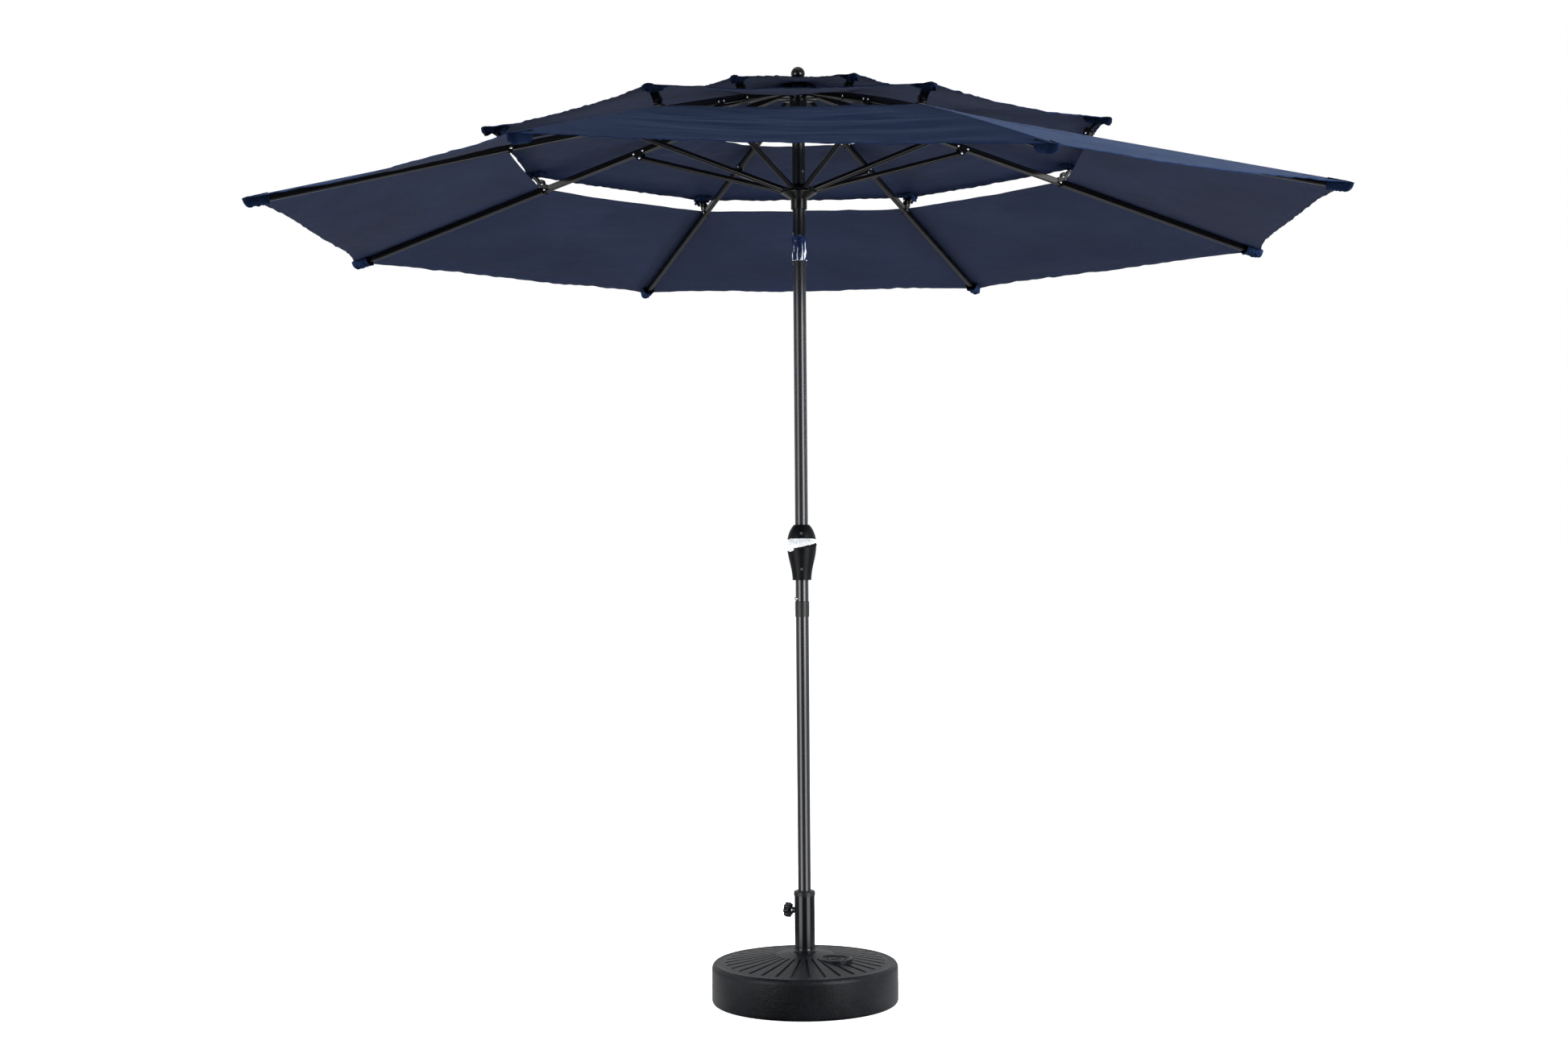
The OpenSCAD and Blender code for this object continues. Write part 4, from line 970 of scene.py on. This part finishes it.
def rivet_heads(k):
    """Heads of four rivets in the tier brackets, and of two and a pin at the strut."""
    places = []
    for tier_name, reach in arm_reach.items():
        foot = arm_tip(tier_name) - reach
        places.append((foot - 0.008, rib_lift, rib_w / 2 + saddle, rivet_r))
        places.append((foot - 0.003, rib_lift + rib_h / 2 + 0.009, rib_w / 2, rivet_r))
    for x in (-0.015, 0.015):
        places.append((strut_at + x, rib_lift, rib_w / 2 + cheek, rivet_r))
    places.append((strut_at, strut_pin_z, rib_w / 2 + cheek, pin_r))
    bm = bmesh.new()
    for x, z, half, radius in places:
        for side in (-1, 1):
            out = Matrix.Rotation(-side * math.pi / 2, 4, "X")
            dome(bm, Matrix.Translation((x, side * half, z)) @ out, radius, head_height)
    bmesh.ops.transform(bm, matrix=in_rib_frame(k), verts=bm.verts)
    spring_down(bm, k)
    return put(bm, f"rivet_heads_{k}", f"rib_{k}", bright_steel)


heads = [rivet_heads(k) for k in range(1, rib_count + 1)]
print("rivet heads on", len(heads), "ribs")

# %% [markdown]
# ## The sprung ribs themselves
#
# A straight tube has no points along its length, so it cannot bend. The two
# sprung ribs and their brackets are drawn again: the straight part is cut across
# at even steps, then its points go down along the curve. They stand for the
# straight ones, which go on to carry the weight and the contacts.


# %% Two ribs and their brackets, bent
def sprung(node_name, k, material):
    """Cuts a straight part across its length and bends it with its rib."""
    source = frame["nodes"][node_name]
    outward = Vector((math.cos(rib_azimuth(k)), math.sin(rib_azimuth(k)), 0))
    bm = bmesh.new()
    bm.from_mesh(source.data)
    bmesh.ops.remove_doubles(bm, verts=bm.verts, dist=1e-6)
    bmesh.ops.transform(bm, matrix=source.matrix_world, verts=bm.verts)
    cuts = 24
    for n in range(cuts):
        bmesh.ops.bisect_plane(
            bm, geom=bm.verts[:] + bm.edges[:] + bm.faces[:], dist=1e-6,
            plane_co=outward * (spring_r + (canopy_r - spring_r) * (n + 0.5) / cuts),
            plane_no=outward,
        )
    spring_down(bm, k)
    for edge in bm.edges:
        edge.smooth = edge.calc_face_angle(0.0) < math.radians(30)
    piece = put(bm, f"sprung_{node_name}", f"rib_{k}", material)
    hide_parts(node_name)
    return piece


for k in tip_droop:
    tube = sprung(f"rib_{k}", k, rib_coat)
    sprung(f"rib_fittings_{k}", k, bracket_nylon)
    print(tube.name, "has", len(tube.data.polygons), "faces")

# %% [markdown]
# ## Wrapping on the crank and on the tilt joint
#
# The umbrella is new. A strip of white foam film still protects the folded
# grip, wound tight and creased, and clear film is stuck round the tilt joint.
# The foam is a soft body that was squeezed, so it starts as a fine sphere and is
# pressed into a tapered bar with lumps and creases.

# %% Foam round the grip
grip_low, grip_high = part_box("crank_grip")
foam_film = finish("white_foam_film", "#dfe3e8", 0.35, 5.0, 1.4, 0.22)
bm = bmesh.new()
bmesh.ops.create_icosphere(bm, subdivisions=6, radius=1)
past_left, past_right, in_front, over_middle = 0.005, 0.002, 0.001, 0.0165
left, right = grip_low.x - past_left, grip_high.x + past_right
middle_y = (grip_low.y + grip_high.y) / 2 - in_front
top_z = (grip_low.z + grip_high.z) / 2 + over_middle
# Before its lumps the bar is 36 mm high and 22 mm wide at the left end, and 16 by
# 20 mm at the right one.
for v in bm.verts:
    n = v.co.copy()
    s = (n.x + 1) / 2
    blunt = (1 - min(1.0, abs(n.x)) ** 6) ** 0.5 / max(0.05, math.hypot(n.y, n.z))
    around = Vector((n.y, n.z)) * blunt
    half_z = 0.0178 - 0.0100 * s**0.75
    half_y = 0.0112 - 0.0014 * s
    lump = noise.noise(n * 3.1) * 0.10 + abs(noise.noise(n * 8.7)) * 0.18
    hang = 0.005 * math.exp(-(((s - 0.16) / 0.10) ** 2)) * max(0.0, -around.y)
    v.co = Vector((
        left + (right - left) * s,
        middle_y + around.x * half_y * (1.0 + lump),
        top_z - half_z + around.y * half_z * (1.0 + lump * 0.5) - hang,
    ))
foam = put(bm, "foam_wrap", "crank_grip", foam_film)
print("foam", [round(c, 4) for c in foam.dimensions])

# %% Film round the tilt joint
fork_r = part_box("middle_pole")[1].x
joint_z = hinges["upper_mast"].z
film_half, film_overlap = 0.034, 1.06
film_low, film_high = joint_z - film_half, joint_z + film_half
clear_film = bpy.data.materials.new("clear_stretch_film")
clear_film.use_nodes = True
tree = clear_film.node_tree
shader = tree.nodes["Principled BSDF"]
shader.inputs["Roughness"].default_value = 0.06
shader.inputs["Specular IOR Level"].default_value = 1.0
place = add_node(tree, "ShaderNodeTexCoord")
stretch = add_node(tree, "ShaderNodeMapping", {0: place.outputs["Object"], "Scale": (1, 1, 0.12)})
creased = add_node(
    tree, "ShaderNodeTexNoise", {"Vector": stretch.outputs[0], "Scale": 150.0, "Detail": 3.0}
)
# Along its creases the film is painted white, as highlights, and hides the pole.
ridge = add_node(
    tree, "ShaderNodeMapRange", {"Value": creased.outputs[0], 1: 0.57, 2: 0.63, 3: 0.0, 4: 1.0}
)
# Its two cut ends are rolled up and white too, here more and there less.
height = add_node(tree, "ShaderNodeSeparateXYZ", {0: place.outputs["Object"]})
ragged = add_node(
    tree, "ShaderNodeMath", {0: creased.outputs[0], 1: 0.012, 2: height.outputs["Z"]},
    operation="MULTIPLY_ADD",
)
in_middle = add_node(
    tree, "ShaderNodeMath",
    {0: ragged.outputs[0], 1: joint_z + 0.006, 2: film_high - joint_z},
    operation="COMPARE",
)
at_end = add_node(
    tree, "ShaderNodeMath", {0: 1.0, 1: in_middle.outputs[0]}, operation="SUBTRACT"
)
white = add_node(
    tree, "ShaderNodeMath", {0: ridge.outputs[0], 1: at_end.outputs[0]}, operation="MAXIMUM"
)
hue = add_node(
    tree, "ShaderNodeMix",
    {0: white.outputs[0], 6: linear("#122144"), 7: linear("#e6ebf6")}, data_type="RGBA",
)
veil = add_node(tree, "ShaderNodeMapRange", {"Value": white.outputs[0], 3: 0.72, 4: 0.96})
bump = add_node(
    tree, "ShaderNodeBump",
    {"Height": creased.outputs[0], "Strength": 1.0, "Distance": 0.0005},
)
tree.links.new(hue.outputs[2], shader.inputs["Base Color"])
tree.links.new(veil.outputs[0], shader.inputs["Alpha"])
tree.links.new(bump.outputs[0], shader.inputs["Normal"])
bm = bmesh.new()
bmesh.ops.create_cone(bm, segments=72, radius1=1, radius2=1, depth=1, cap_ends=False)
long_edges = [e for e in bm.edges if abs(e.verts[0].co.z - e.verts[1].co.z) > 0.5]
bmesh.ops.subdivide_edges(bm, edges=long_edges, cuts=23)
for v in bm.verts:
    turn = math.atan2(v.co.y, v.co.x)
    share = v.co.z + 0.5
    edge = 0.0015 * noise.noise(Vector((v.co.x * 1.7, v.co.y * 1.7, 5))) * (2 * share - 1)
    z = film_low + (film_high - film_low) * share + edge
    fold = abs(noise.noise(Vector((v.co.x * 3.5, v.co.y * 3.5, share * 2.2))))
    radius = fork_r + 0.0010 + 0.0032 * fold
    v.co = Vector((radius * math.cos(turn), radius * math.sin(turn), z))
bmesh.ops.recalc_face_normals(bm, faces=bm.faces)
for face in bm.faces:
    face.smooth = True
film = as_object(bm, "joint_film", clear_film)
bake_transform(film)
print("film", [round(c, 4) for c in film.dimensions])

# %% [markdown]
# ## Small things on the base
#
# A blow-moulded tank shows where its two mould halves met: a thin raised bead
# runs round the wall. Its section is a small circle, spun once round the axis.

# %% The mould's parting bead
tank_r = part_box("base_tank")[1].x
bead_z, bead_r, bead_sunk = 0.05, 0.0011, 0.0004
bm = bmesh.new()
made = bmesh.ops.create_circle(bm, segments=8, radius=bead_r)["verts"]
upright = Matrix.Rotation(math.pi / 2, 4, "X")
bmesh.ops.transform(
    bm, matrix=Matrix.Translation((tank_r - bead_sunk, 0, bead_z)) @ upright, verts=made
)
bmesh.ops.spin(
    bm, geom=list(bm.verts) + list(bm.edges), cent=(0, 0, 0), axis=(0, 0, 1), dvec=(0, 0, 0),
    angle=2 * math.pi, steps=160, use_merge=True, use_duplicate=False,
)
bmesh.ops.remove_doubles(bm, verts=bm.verts, dist=1e-6)
bmesh.ops.recalc_face_normals(bm, faces=bm.faces)
bead = put(bm, "parting_bead", "base", tank_plastic)
print("bead", [round(c, 3) for c in bead.dimensions])
